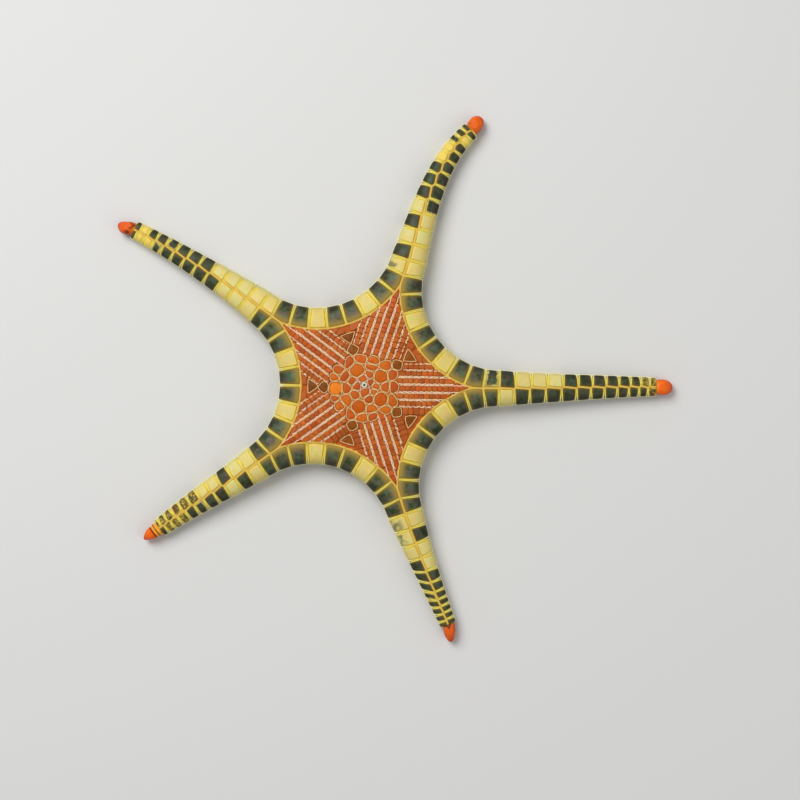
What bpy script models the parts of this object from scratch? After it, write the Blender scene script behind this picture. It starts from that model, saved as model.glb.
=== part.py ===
"""A flat five-armed starfish of the icon star kind, lying on a level floor.

The body lies on the plane z = 0 with the middle of its mouth at the origin and its
longest arm along +X. A frame of block-like marginal plates borders the disc, one
stretch of it round each bay between two arms, and the same plates run on in pairs
along the arms to a terminal plate at each tip.
"""
import math
from collections import namedtuple

import bmesh
import bpy
import numpy as np

MM = 0.001
DEGREE = math.radians(1.0)

# Plan of the disc. Each bay between two arms is an arc about its own centre.
ARM_STEP = 72.0 * DEGREE
BAY_DISTANCE = 37.6 * MM
BAY_RADIUS = 18.0 * MM
FIELD_RADIUS = 23.0 * MM
BAY_ALONG = BAY_DISTANCE * math.cos(ARM_STEP / 2)
BAY_ASIDE = BAY_DISTANCE * math.sin(ARM_STEP / 2)
FRAME_PLATES = 8
FRAME_HALF_ANGLE = 43.7 * DEGREE

# Heights above the floor.
FRAME_HEIGHT = 7.1 * MM
DOME_HEIGHT = 8.2 * MM
TIP_HEIGHT = 3.5 * MM
WAIST_HEIGHT = 4.0 * MM

# Arms: the frame gives way to them at ARM_START, and they bend from there on.
ARM_START = BAY_ALONG - BAY_ASIDE * math.tan(math.pi / 2 - ARM_STEP / 2 - FRAME_HALF_ANGLE)
SLANT_END = 30.5 * MM
NECK = 30.0 * MM
NECK_HALF_WIDTH = BAY_ASIDE - BAY_RADIUS + 0.15 * MM
PATH_STEPS = 280

Arm = namedtuple("Arm", "length sway curl tip_half_width swell plates taper crowding cap parts")
ARMS = (
    Arm(69.8 * MM, 8.0, -8.5, 2.00 * MM, 0.00 * MM, 13, 0.50, 2.0, 3.6 * MM, (5, 4, 4)),
    Arm(67.3 * MM, 24.0, -61.0, 2.00 * MM, -0.10 * MM, 13, 0.50, 2.0, 3.5 * MM, (5, 4, 4)),
    Arm(67.7 * MM, 10.0, 0.5, 2.00 * MM, -0.20 * MM, 13, 0.50, 2.0, 3.7 * MM, (5, 4, 4)),
    Arm(61.4 * MM, -12.0, 15.0, 1.80 * MM, 0.20 * MM, 12, 0.55, 1.2, 4.2 * MM, (4, 4, 4)),
    Arm(61.3 * MM, 11.5, -6.0, 1.70 * MM, -0.05 * MM, 12, 0.60, 1.2, 3.8 * MM, (4, 4, 4)),
)
PART_NAMES = ("inner", "middle", "outer")

# Half of a section across the marginal plates: (part of the half width, part of the
# height), from the top of the inner edge, over the shoulder and down to the floor.
SHOULDER = ((0.0, 1.0), (0.40, 0.985), (0.70, 0.91), (0.91, 0.73), (1.0, 0.50),
            (0.97, 0.27), (0.84, 0.06), (0.72, 0.0))
# The furrow along the underside, from its lip on the floor to its roof.
FURROW = ((0.36, 0.0), (0.215, 0.155), (0.0, 0.24))
FURROW_REACH = (1.4 * MM, 25.0 * MM)
PLATE_SEAM_DEPTH = 0.28 * MM

# The disc's field of plates, its sieve plate and the jaws.
FIELD_SCALES = (0.93, 0.72, 0.46, 0.20)
FIELD_STEPS = 8
SIEVE_PLATE_RADIUS = 1.4 * MM
SIEVE_PLATE_CENTRE = (-6.7 * MM, -0.6 * MM)
SIEVE_PLATE_SCALE = 0.4
SIEVE_PLATE_DEPTH = 0.6 * MM
SIEVE_PLATE_RISE = 0.25 * MM
JAW_RADIUS = 3.2 * MM
ROUND_SEGMENTS = 20

GAP = 0.3 * MM

COLOURS = {
    "disc": ((0.55, 0.12, 0.02), 0.55),
    "sieve": ((0.72, 0.20, 0.03), 0.50),
    "under": ((0.72, 0.58, 0.40), 0.60),
    "jaw": ((0.78, 0.66, 0.48), 0.60),
    "frame": ((0.10, 0.12, 0.10), 0.45),
    "arm": ((0.62, 0.54, 0.22), 0.45),
    "tip": ((0.80, 0.18, 0.02), 0.40),
}


def clear_scene():
    """Remove every object already in the scene."""
    for obj in list(bpy.data.objects):
        bpy.data.objects.remove(obj, do_unlink=True)


def collection(name):
    """A new collection, linked to the scene."""
    group = bpy.data.collections.new(name)
    bpy.context.scene.collection.children.link(group)
    return group


def principled(name):
    """A plain Principled material in one of the named colours."""
    colour, roughness = COLOURS[name]
    material = bpy.data.materials.new(name)
    material.use_nodes = True
    shader = material.node_tree.nodes["Principled BSDF"]
    shader.inputs["Base Color"].default_value = (*colour, 1.0)
    shader.inputs["Roughness"].default_value = roughness
    shader.inputs["Metallic"].default_value = 0.0
    return material


def add_object(name, bm, group, material=None):
    """Turn a bmesh into a named object with outward faces and smooth shading."""
    bmesh.ops.recalc_face_normals(bm, faces=bm.faces)
    mesh = bpy.data.meshes.new(name)
    bm.to_mesh(mesh)
    bm.free()
    mesh.shade_smooth()
    mesh.set_sharp_from_angle(angle=35.0 * DEGREE)
    if material:
        mesh.materials.append(material)
    obj = bpy.data.objects.new(name, mesh)
    group.objects.link(obj)
    return obj


def loft(rings, apex=None):
    """A closed skin over sections with equal point counts, ending flat or at an apex."""
    bm = bmesh.new()
    loops = [[bm.verts.new(point) for point in ring] for ring in rings]
    for low, high in zip(loops, loops[1:]):
        for i in range(len(low)):
            j = (i + 1) % len(low)
            bm.faces.new((low[i], low[j], high[j], high[i]))
    bm.faces.new(loops[0])
    if apex is None:
        bm.faces.new(loops[-1])
    else:
        peak = bm.verts.new(apex)
        last = loops[-1]
        for i in range(len(last)):
            bm.faces.new((last[i], last[(i + 1) % len(last)], peak))
    return bm


def cut(obj, cutter):
    """Take a cutter away from an object with an exact Boolean."""
    modifier = obj.modifiers.new("cut_" + cutter.name, "BOOLEAN")
    modifier.operation = "DIFFERENCE"
    modifier.solver = "EXACT"
    modifier.object = cutter


def as_cutter(obj):
    """Show an object as a wire guide that is left out of the model."""
    obj.hide_render = True
    obj.display_type = "WIRE"
    return obj


# The disc and its frame -----------------------------------------------------

def bay_centre(index):
    """The point that the arcs of the bay after arm number index turn about."""
    angle = ARM_STEP * (index + 0.5)
    return BAY_DISTANCE * math.cos(angle), BAY_DISTANCE * math.sin(angle)


def bay_point(index, angle, radius):
    """A point of a bay: angle 0 looks at the disc's centre, and grows towards the next arm."""
    x, y = bay_centre(index)
    heading = ARM_STEP * (index + 0.5) + math.pi - angle
    return x + radius * math.cos(heading), y + radius * math.sin(heading)


def off_square(angle):
    """How far a bay's ray leans from square to the nearer arm."""
    return math.pi / 2 - ARM_STEP / 2 - abs(angle)


def field_outline(radius, height, scale=1.0):
    """The star-shaped edge of the disc's field: five hollow arcs that meet on the arms."""
    reach = math.pi / 2 - ARM_STEP / 2 - math.acos(BAY_ASIDE / radius)
    points = []
    for index in range(len(ARMS)):
        for step in range(FIELD_STEPS):
            angle = reach * (2 * step / FIELD_STEPS - 1)
            x, y = bay_point(index, angle, radius)
            points.append((x * scale, y * scale, height))
    return points


def furrow_cutters(group):
    """One bar for each arm that cuts the furrow from the jaws to the arm's start."""
    half = NECK_HALF_WIDTH
    sides = [(part * half, rise * FRAME_HEIGHT) for part, rise in FURROW]
    floor = [(sides[0][0], -1.0 * MM)]
    section = floor + sides
    section += [(-t, z) for t, z in reversed(section[:-1])]
    cutters = []
    for index in range(len(ARMS)):
        cos_a, sin_a = math.cos(ARM_STEP * index), math.sin(ARM_STEP * index)
        rings = [[(s * cos_a - t * sin_a, s * sin_a + t * cos_a, z) for t, z in section]
                 for s in FURROW_REACH]
        cutters.append(as_cutter(add_object(f"furrow_cutter_{index + 1}", loft(rings), group)))
    return cutters


def round_block(radius, low, high, centre=(0.0, 0.0)):
    """A short upright cylinder between two heights."""
    bm = bmesh.new()
    bmesh.ops.create_cone(bm, cap_ends=True, segments=ROUND_SEGMENTS,
                          radius1=radius, radius2=radius, depth=high - low)
    bmesh.ops.translate(bm, verts=bm.verts, vec=(*centre, (low + high) / 2))
    return bm


def dome_height(scale):
    """Height of the disc's upper face at a part of the way out to its edge."""
    return FRAME_HEIGHT + (DOME_HEIGHT - FRAME_HEIGHT) * (1.0 - scale * scale)


def build_disc_top(parts, cutters):
    """The domed upper face of the disc, with a seat for the sieve plate."""
    edge = FIELD_RADIUS + GAP / 2
    rings = [field_outline(edge, WAIST_HEIGHT + GAP / 2), field_outline(edge, FRAME_HEIGHT)]
    rings += [field_outline(edge, dome_height(scale), scale) for scale in FIELD_SCALES]
    disc = add_object("disc_top", loft(rings), parts, principled("disc"))
    top = dome_height(SIEVE_PLATE_SCALE)
    seat = round_block(SIEVE_PLATE_RADIUS + GAP, top - SIEVE_PLATE_DEPTH, top + 3 * MM,
                       SIEVE_PLATE_CENTRE)
    cut(disc, as_cutter(add_object("sieve_seat", seat, cutters)))


def build_sieve_plate(parts):
    """The madreporite, a low round button set into the disc opposite the first arm."""
    top = dome_height(SIEVE_PLATE_SCALE)
    bm = round_block(SIEVE_PLATE_RADIUS, top - SIEVE_PLATE_DEPTH + GAP,
                     top + SIEVE_PLATE_RISE, SIEVE_PLATE_CENTRE)
    rim = [edge for edge in bm.edges
           if all(vert.co.z > top + SIEVE_PLATE_RISE / 2 for vert in edge.verts)]
    bmesh.ops.bevel(bm, geom=rim, offset=SIEVE_PLATE_RISE, segments=2, profile=0.5,
                    affect="EDGES", material=-1)
    add_object("madreporite", bm, parts, principled("sieve"))


def build_disc_underside(parts, cutters, furrows):
    """The flat lower half of the disc, with the five furrows and the jaws' opening."""
    edge = FIELD_RADIUS + GAP / 2
    rings = [field_outline(edge, 0.0), field_outline(edge, WAIST_HEIGHT - GAP / 2)]
    disc = add_object("disc_underside", loft(rings), parts, principled("under"))
    hole = round_block(JAW_RADIUS + GAP, -MM, WAIST_HEIGHT + MM)
    cut(disc, as_cutter(add_object("jaw_opening", hole, cutters)))
    for furrow in furrows:
        cut(disc, furrow)


def build_mouth(parts, furrows):
    """The ring of jaws, closed over the mouth and parted by the furrows' inner ends."""
    jaws = round_block(JAW_RADIUS, 0.0, WAIST_HEIGHT - GAP / 2)
    mouth = add_object("mouth", jaws, parts, principled("jaw"))
    for furrow in furrows:
        cut(mouth, furrow)


def frame_section(index, angle, pinch):
    """A section through the frame on one ray of a bay, from its inner to its outer wall."""
    square = math.cos(off_square(angle))
    inner = min(FIELD_RADIUS - GAP / 2, (BAY_ASIDE - GAP / 2) / square)
    outer = BAY_RADIUS + pinch
    height = FRAME_HEIGHT - pinch
    span = inner - outer
    section = [(inner - part * span, rise * height) for part, rise in SHOULDER]
    lip, wall, roof = ((BAY_ASIDE - part * NECK_HALF_WIDTH) / square for part, _ in FURROW)
    section.append((min(lip, inner - 0.4 * MM), 0.0))
    section.append((min(wall, inner - 0.15 * MM), FURROW[1][1] * FRAME_HEIGHT))
    section.append((min(roof, inner), FURROW[2][1] * FRAME_HEIGHT))
    return [(*bay_point(index, angle, radius), z) for radius, z in section]


def build_frame(parts):
    """One stretch of marginal plates round each bay, named for the arms beside it."""
    material = principled("frame")
    step = FRAME_HALF_ANGLE / FRAME_PLATES
    for index in range(len(ARMS)):
        sections = []
        for station in range(2 * FRAME_PLATES + 1):
            angle = -FRAME_HALF_ANGLE + station * step
            pinch = 0.0 if station % 2 else PLATE_SEAM_DEPTH
            sections.append((angle, pinch))
        trim = GAP / 2 / BAY_RADIUS
        sections[0] = (sections[0][0] + trim, sections[0][1])
        sections[-1] = (sections[-1][0] - trim, sections[-1][1])
        rings = [frame_section(index, angle, pinch) for angle, pinch in sections]
        name = f"rim_{index + 1}{(index + 1) % len(ARMS) + 1}"
        add_object(name, loft(rings), parts, material)


# The arms -------------------------------------------------------------------

def centreline(index):
    """Distances, positions and headings along the middle of one arm."""
    arm = ARMS[index]
    along = np.linspace(0.0, arm.length, PATH_STEPS + 1)
    bend = np.clip((along - ARM_START) / (arm.length - ARM_START), 0.0, None)
    heading = ARM_STEP * index + DEGREE * (arm.sway * bend + arm.curl * bend * bend)
    middle = (heading[1:] + heading[:-1]) / 2
    step = arm.length / PATH_STEPS
    x = np.concatenate(([0.0], np.cumsum(np.cos(middle)) * step))
    y = np.concatenate(([0.0], np.cumsum(np.sin(middle)) * step))
    return along, x, y, heading


def arm_point(path, s, t, z):
    """A point at distance s along an arm, t to its left and z above the floor."""
    along, x, y, heading = path
    turn = np.interp(s, along, heading)
    px = np.interp(s, along, x) - t * math.sin(turn)
    py = np.interp(s, along, y) + t * math.cos(turn)
    return float(px), float(py), float(z)


def half_width(arm, s):
    """Half the arm's width: a bay's arc at its root, then a slow taper to the tip."""
    if s < NECK:
        return BAY_ASIDE - math.sqrt(BAY_RADIUS ** 2 - (s - BAY_ALONG) ** 2)
    out = (s - NECK) / (arm.length - NECK)
    taper = NECK_HALF_WIDTH - (NECK_HALF_WIDTH - arm.tip_half_width) * out ** 0.75
    return taper + arm.swell * math.sin(math.pi * out)


def arm_height(arm, s):
    """Height of the arm's back above the floor."""
    out = max(0.0, (s - ARM_START) / (arm.length - ARM_START))
    return FRAME_HEIGHT - (FRAME_HEIGHT - TIP_HEIGHT) * out ** 0.9


def slant(s):
    """How fast a plate edge runs outwards from the arm's middle: fades along the arm."""
    start = math.tan(off_square(FRAME_HALF_ANGLE))
    return start * max(0.0, (SLANT_END - s) / (SLANT_END - ARM_START))


def plate_edges(arm):
    """Distances of the edges between plates along the free arm."""
    sizes = [1.0 - arm.taper * (i / (arm.plates - 1)) ** arm.crowding
             for i in range(arm.plates)]
    free = arm.length - arm.cap - ARM_START
    return [ARM_START + free * sum(sizes[:i]) / sum(sizes) for i in range(arm.plates + 1)]


def arm_section(path, arm, s, pinch, shrink=1.0, rise=1.0):
    """A closed section across an arm: down its left side and back up its right."""
    lean = slant(s)
    width = half_width(arm, s + lean * half_width(arm, s))
    width = (width - pinch) * shrink
    height = (arm_height(arm, s) - pinch) * rise
    half = [(part * width, lift * height) for part, lift in SHOULDER + FURROW]
    right = [(-t, z) for t, z in half[-2:0:-1]]
    return [arm_point(path, s + lean * abs(t), t, z) for t, z in half + right]


def build_arm(index, parts, material):
    """The free arm in three lengths, cut where plates meet."""
    arm = ARMS[index]
    path = centreline(index)
    edges = plate_edges(arm)
    first = 0
    for part_name, count in zip(PART_NAMES, arm.parts):
        stops = edges[first:first + count + 1]
        rings = []
        for low, high in zip(stops, stops[1:]):
            start = low + GAP / 2 if low == stops[0] else low
            rings.append(arm_section(path, arm, start, PLATE_SEAM_DEPTH))
            rings.append(arm_section(path, arm, (low + high) / 2, 0.0))
        rings.append(arm_section(path, arm, stops[-1] - GAP / 2, PLATE_SEAM_DEPTH))
        add_object(f"arm_{index + 1}_{part_name}", loft(rings), parts, material)
        first += count


def build_tip(index, parts, material):
    """The terminal plate, a smooth cap over the arm's end."""
    arm = ARMS[index]
    path = centreline(index)
    start = arm.length - arm.cap + GAP / 2
    reach = arm.length - start
    rings = []
    for out in (0.0, 0.35, 0.68, 0.90):
        shrink = (1.0 - out ** 2.4) ** 0.5
        rings.append(arm_section(path, arm, start + reach * out, 0.0, shrink, 0.35 + 0.65 * shrink))
    apex = arm_point(path, arm.length, 0.0, 0.35 * TIP_HEIGHT)
    add_object(f"tip_{index + 1}", loft(rings, apex), parts, material)


def main():
    """Build the whole starfish."""
    clear_scene()
    parts = collection("starfish")
    cutters = collection("cutters")
    furrows = furrow_cutters(cutters)
    build_disc_top(parts, cutters)
    build_sieve_plate(parts)
    build_disc_underside(parts, cutters, furrows)
    build_mouth(parts, furrows)
    build_frame(parts)
    arm_material = principled("arm")
    tip_material = principled("tip")
    for index in range(len(ARMS)):
        build_arm(index, parts, arm_material)
        build_tip(index, parts, tip_material)


main()
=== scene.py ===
"""Surface model of an icon star: skin, plates, granules, terminal plates and underside.

Lengths are in metres. The body lies on z = 0 with the middle of its mouth at the origin
and its longest arm along +X, as the solids do.
"""
import cmath
import math
from collections import namedtuple
from itertools import product

import bmesh
import bpy
import numpy as np
from mathutils import Matrix, Vector


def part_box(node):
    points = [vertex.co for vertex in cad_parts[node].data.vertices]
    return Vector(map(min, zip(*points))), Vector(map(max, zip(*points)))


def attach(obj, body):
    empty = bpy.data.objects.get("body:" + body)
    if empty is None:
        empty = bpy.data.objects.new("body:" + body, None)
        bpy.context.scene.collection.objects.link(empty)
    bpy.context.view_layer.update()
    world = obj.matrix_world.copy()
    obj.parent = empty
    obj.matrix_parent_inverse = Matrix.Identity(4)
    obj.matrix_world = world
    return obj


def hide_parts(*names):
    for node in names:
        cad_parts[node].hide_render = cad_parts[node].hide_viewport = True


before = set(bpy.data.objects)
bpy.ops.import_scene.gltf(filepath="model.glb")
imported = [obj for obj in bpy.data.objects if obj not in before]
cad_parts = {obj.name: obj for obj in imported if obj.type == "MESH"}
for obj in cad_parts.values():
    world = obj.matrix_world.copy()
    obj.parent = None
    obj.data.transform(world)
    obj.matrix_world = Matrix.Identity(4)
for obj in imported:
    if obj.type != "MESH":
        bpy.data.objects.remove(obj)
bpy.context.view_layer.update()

MM = 0.001
DEGREE = math.radians(1.0)
RANDOM = np.random.default_rng(11)

# The plan of the body, as the solids have it.
ARM_STEP = 72.0 * DEGREE
BAY_DISTANCE = 37.6 * MM
BAY_RADIUS = 18.0 * MM
FIELD_RADIUS = 23.0 * MM
BAY_ALONG = BAY_DISTANCE * math.cos(ARM_STEP / 2)
BAY_ASIDE = BAY_DISTANCE * math.sin(ARM_STEP / 2)
SQUARE = math.pi / 2 - ARM_STEP / 2
FRAME_HALF_ANGLE = 43.7 * DEGREE
FRAME_HEIGHT = 7.1 * MM
DOME_HEIGHT = 8.2 * MM
TIP_HEIGHT = 3.5 * MM
ARM_START = BAY_ALONG - BAY_ASIDE * math.tan(SQUARE - FRAME_HALF_ANGLE)
SLANT_END = 30.5 * MM
NECK = 30.0 * MM
NECK_HALF_WIDTH = BAY_ASIDE - BAY_RADIUS + 0.15 * MM
PATH_STEPS = 280
FRAME_PLATES = 4
SIDES = (1, -1)
FRAME_RUN = FRAME_HALF_ANGLE * (BAY_RADIUS + FIELD_RADIUS) / 2

# Each arm: its length, bends in degrees and shape of its sides, then its free plates: how
# many, their sizes in mm at the root, a third and two thirds of the way out and the tip,
# how far in mm the seams of the left and right ones are shifted outwards and the plate by
# which that shift is complete, and how steeply those seams lean outwards near HANG_MIDDLE.
# Then its cap. Last the colours of the left and right plates from the root out: D dark,
# P pale, M dark with a pale border, C pale with a smoky cloud, W worn.
Arm = namedtuple("Arm", "length sway curl tip_half_width swell plates sizes shift hang cap "
                        "colours")
# Each cap: length, half width, how pointed it is, how far it veers and bends to the left,
# how blotched it is and whether it has a collar.
Cap = namedtuple("Cap", "length half_width point veer bend blots collar")
ARMS = (
    Arm(69.8 * MM, 8.0, -8.5, 2.00 * MM, 0.00 * MM,
        13, (3.75, 3.60, 2.95, 1.75), (0.0, -0.45, 3), (0.0, 0.0),
        Cap(3.6 * MM, 1.74 * MM, 0.0, -0.10 * MM, 0.0, 0.0, 0.0),
        ("MDPPPDDDDDDWW", "DPDDDDDDDDDDW")),
    Arm(67.3 * MM, 24.0, -61.0, 2.00 * MM, -0.10 * MM,
        13, (3.85, 3.70, 2.75, 1.55), (0.0, 1.30, 10), (0.0, 0.0),
        Cap(3.5 * MM, 1.68 * MM, 0.0, 0.40 * MM, 0.0, 0.3, 0.0),
        ("CDPDPDDDPPMDD", "PPPPMDDDDDPDD")),
    Arm(67.7 * MM, 10.0, 0.5, 2.00 * MM, -0.20 * MM,
        13, (3.55, 3.45, 2.85, 1.75), (0.40, 0.0, 3), (0.0, 0.0),
        Cap(3.7 * MM, 1.62 * MM, 0.5, 0.58 * MM, 0.0, 1.0, 0.0),
        ("DPPPDDDDDMPPD", "PPPPPDDDMDDPD")),
    Arm(61.4 * MM, -12.0, 15.0, 1.80 * MM, 0.20 * MM,
        12, (3.40, 3.05, 2.35, 1.60), (0.0, 0.50, 3), (0.0, 0.0),
        Cap(4.2 * MM, 1.72 * MM, 1.15, -0.10 * MM, 0.0, 0.0, 1.0),
        ("DPDPDDMDWWWD", "DPPDPPWWWWWW")),
    Arm(61.3 * MM, 11.5, -6.0, 1.70 * MM, -0.05 * MM,
        12, (3.90, 3.70, 1.80, 1.70), (0.0, 0.20, 3), (0.0, -0.60),
        Cap(3.8 * MM, 1.50 * MM, 0.75, -0.30 * MM, -0.55 * MM, 1.0, 0.0),
        ("DPDPPDDDDDDD", "DCCPDDDMDDDD")),
)
FRAME_COLOURS = "DPDD"
RAYS = range(len(ARMS))
HANG_MIDDLE = 48.0 * MM
HANG_REACH = 5.0 * MM

# Coat: plates stand proud of the skin, and granules fill the seams between them.
COAT = 0.42 * MM
ROOTED = 0.35 * MM
SEAM = 0.44 * MM
CORNER = 0.28 * MM
EDGE_ROUND = 0.24 * MM
GRANULE = 0.118 * MM
GRANULE_PITCH = 0.215 * MM

# Parts of an arm's half width at which its flank turns under, its lower plates end, and
# the furrow begins.
FOOT = 0.74
HEEL = 0.58
LIP = 0.36


# Plan -----------------------------------------------------------------------

def of_side(pair, side):
    """The left or the right one of a pair."""
    return pair[0 if side > 0 else 1]


def run_of(steps):
    """Running total of steps, from 0."""
    return np.concatenate(([0.0], np.cumsum(steps)))


def centreline(number):
    """Distances, positions and headings along the middle of one arm."""
    arm = ARMS[number]
    along = np.linspace(0.0, arm.length, PATH_STEPS + 1)
    bend = np.clip((along - ARM_START) / (arm.length - ARM_START), 0.0, None)
    heading = ARM_STEP * number + DEGREE * (arm.sway * bend + arm.curl * bend * bend)
    middle = (heading[1:] + heading[:-1]) / 2
    step = arm.length / PATH_STEPS
    return along, run_of(np.cos(middle) * step), run_of(np.sin(middle) * step), heading


PATHS = [centreline(number) for number in RAYS]


def arm_place(number, s, t, z):
    """Points at distance s along an arm, t to its left and z above the floor."""
    along, x, y, heading = PATHS[number]
    turn = np.interp(s, along, heading)
    over = np.maximum(s - along[-1], 0.0)
    px = np.interp(s, along, x) - t * np.sin(turn) + over * np.cos(turn)
    py = np.interp(s, along, y) + t * np.cos(turn) + over * np.sin(turn)
    return np.stack(np.broadcast_arrays(px, py, z), axis=-1)


def half_width(arm, s):
    """Half the arm's width: a bay's arc at its root, then a slow taper to the tip."""
    root = BAY_ASIDE - np.sqrt(np.maximum(BAY_RADIUS ** 2 - (s - BAY_ALONG) ** 2, 0.0))
    out = np.clip((s - NECK) / (arm.length - NECK), 0.0, 1.0)
    taper = NECK_HALF_WIDTH - (NECK_HALF_WIDTH - arm.tip_half_width) * out ** 0.75
    return np.where(s < NECK, root, taper + arm.swell * np.sin(math.pi * out))


def arm_height(arm, s):
    """Height of the arm's back above the floor."""
    out = np.clip((s - ARM_START) / (arm.length - ARM_START), 0.0, 1.0)
    return FRAME_HEIGHT - (FRAME_HEIGHT - TIP_HEIGHT) * out ** 0.9


def slant(s):
    """How fast a plate edge runs outwards from the arm's middle: fades along the arm."""
    start = math.tan(SQUARE - FRAME_HALF_ANGLE)
    return start * np.clip((SLANT_END - s) / (SLANT_END - ARM_START), 0.0, None)


def plate_edges(arm, side):
    """Distances along a flank of the seams between its free plates."""
    place = np.arange(arm.plates) / (arm.plates - 1)
    sizes = np.interp(place, (0, 1 / 3, 2 / 3, 1), arm.sizes)
    edges = run_of(sizes) / sizes.sum()
    edges *= arm.length - arm.cap.length - ARM_START
    shift = of_side(arm.shift, side) * MM
    edges[1:-1] += shift * np.minimum(np.arange(1, arm.plates) / arm.shift[2], 1.0)
    return FRAME_RUN + edges


def midline_weave(number):
    """Where the seam along an arm's middle lies: it bends towards each plate's corner."""
    most, share = 0.26 * MM, 0.42
    left, right = (plate_edges(ARMS[number], side)[1:-1] for side in SIDES)
    knots = []
    for mine, other, side in ((left, right, 1), (right, left, -1)):
        for edge in mine:
            apart = np.abs(other - edge).min()
            knots.append((edge, side * min(share * apart, most)))
    knots.sort()
    return np.array(knots)


def dome(x, y):
    """Height of the disc's upper face."""
    angle = np.arctan2(y, x) % ARM_STEP - ARM_STEP / 2
    reach = BAY_DISTANCE * np.cos(angle) - np.sqrt(
        np.maximum(FIELD_RADIUS ** 2 - (BAY_DISTANCE * np.sin(angle)) ** 2, 0.0))
    out = np.clip(np.hypot(x, y) / reach, 0.0, 1.0)
    return FRAME_HEIGHT + (DOME_HEIGHT - FRAME_HEIGHT) * (1.0 - out ** 2)


def even_turns(across, rise, flatten=0.62):
    """Share of the length of a section curve that lies before each of its points."""
    run = run_of(np.hypot(np.diff(across) * flatten, np.diff(rise)))
    return run / run[-1]


# Section of a flank: its upper quarter bulges more than a circle, its lower one turns under.
QUARTER = np.linspace(0.0, math.pi / 2, 60)
UPPER_ACROSS = np.sin(QUARTER) ** 0.83
UPPER_RISE = 0.5 + 0.5 * np.cos(QUARTER) ** 0.87
UPPER_TURN = even_turns(UPPER_ACROSS, UPPER_RISE)
LOWER_ACROSS = FOOT + (1.0 - FOOT) * np.cos(QUARTER) ** 0.9
LOWER_RISE = 0.5 - 0.5 * np.sin(QUARTER) ** 0.9
LOWER_TURN = even_turns(LOWER_ACROSS, LOWER_RISE)
LOWER_CURVE = 0.55
LOWER_FLAT = 0.65

# The unwrapped skin: what length of arm and how much of the disc it takes, and how wide a
# granule's patch on it is, as parts of the whole.
BAKE_LENGTH = 80.0 * MM
BAKE_HALF = 25.0 * MM
BAKE_PATCH = 0.0015


class Flank:
    """One side of one arm with half the bay beside it.

    Two coordinates lie on it: along runs from the bay's middle to the arm's tip, and turn
    runs round it, 0 at the top's inner edge, 1 at the seam between the upper and lower
    plates, and 2 at the lower plates' inner edge.
    """

    def __init__(self, number, side):
        self.number = number
        self.side = side
        self.arm = ARMS[number]
        self.bay = number if side > 0 else number - 1
        self.hang = of_side(self.arm.hang, side)
        self.weave = midline_weave(number)

    def section(self, turn, heel):
        """Part of the way across and part of the height at a turn."""
        bend = LOWER_CURVE / (LOWER_CURVE + (FOOT - heel) * LOWER_FLAT)
        lower = np.clip((turn - 1.0) / bend, 0.0, 1.0)
        flat = np.clip((turn - 1.0 - bend) / (1.0 - bend), 0.0, 1.0)
        across = np.where(turn <= 1.0, np.interp(turn, UPPER_TURN, UPPER_ACROSS),
                          np.interp(lower, LOWER_TURN, LOWER_ACROSS) - flat * (FOOT - heel))
        rise = np.where(turn <= 1.0, np.interp(turn, UPPER_TURN, UPPER_RISE),
                        np.interp(lower, LOWER_TURN, LOWER_RISE))
        return across, rise

    def place(self, along, turn):
        """Points on the flank."""
        along, turn = np.broadcast_arrays(np.asarray(along, float), np.asarray(turn, float))
        angle = np.minimum(along, FRAME_RUN) / FRAME_RUN * FRAME_HALF_ANGLE
        lean = SQUARE - angle
        inner = np.minimum(FIELD_RADIUS, BAY_ASIDE / np.cos(lean))
        reach = (BAY_ASIDE - HEEL * NECK_HALF_WIDTH) / np.cos(lean)
        heel = (inner - reach) / (inner - BAY_RADIUS)
        across, rise = self.section(turn, np.clip(heel, 0.0, HEEL))
        x, y = bay_place(self.bay, inner - across * (inner - BAY_RADIUS), self.side * angle)
        frame_part = np.stack((x, y, rise * FRAME_HEIGHT), axis=-1)
        s = ARM_START + np.maximum(along - FRAME_RUN, 0.0)
        lean = slant(s) + self.hang * np.exp(-((s - HANG_MIDDLE) / HANG_REACH) ** 2)
        width = half_width(self.arm, s + lean * half_width(self.arm, s))
        across, rise = self.section(turn, HEEL)
        t = across * width
        weave = np.interp(along, self.weave[:, 0], self.weave[:, 1], left=0.0, right=0.0)
        weave = weave * np.clip(1.0 - turn / 0.5, 0.0, 1.0)
        free_part = arm_place(self.number, s + lean * t, self.side * t + weave,
                              rise * arm_height(self.arm, s))
        return np.where((along <= FRAME_RUN)[..., None], frame_part, free_part)

    def normal(self, along, turn, step=0.05 * MM, bit=0.004):
        """Outward unit normals of the flank."""
        a = self.place(along + step, turn) - self.place(along - step, turn)
        b = self.place(along, turn + bit) - self.place(along, turn - bit)
        return unit(np.cross(a, b) * self.side)

    def lifted(self, along, turn, lift):
        """Points off the flank by a lift along its normal."""
        return self.place(along, turn) + self.normal(along, turn) * np.asarray(lift)[..., None]

    def girth(self, along, first, last):
        """Length round the flank between two turns."""
        line = self.place(np.full(40, along), np.linspace(first, last, 40))
        return float(np.linalg.norm(np.diff(line, axis=0), axis=1).sum())

    def bake_place(self, along, turn):
        """Where a spot of the flank lies on the unwrapped skin, from 0 to 1."""
        strip = self.number * 2 + (self.side > 0)
        v = (strip + 0.1 + 0.8 * turn / 2.0) / 20.0
        return np.stack((0.02 + 0.96 * along / BAKE_LENGTH, v), axis=-1)


def bay_place(bay, radius, angle):
    """Points round the middle of a bay's arcs, by angles from straight inwards."""
    middle = ARM_STEP * (bay + 0.5)
    heading = middle + math.pi + angle
    return (BAY_DISTANCE * math.cos(middle) + radius * np.cos(heading),
            BAY_DISTANCE * math.sin(middle) + radius * np.sin(heading))


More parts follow.
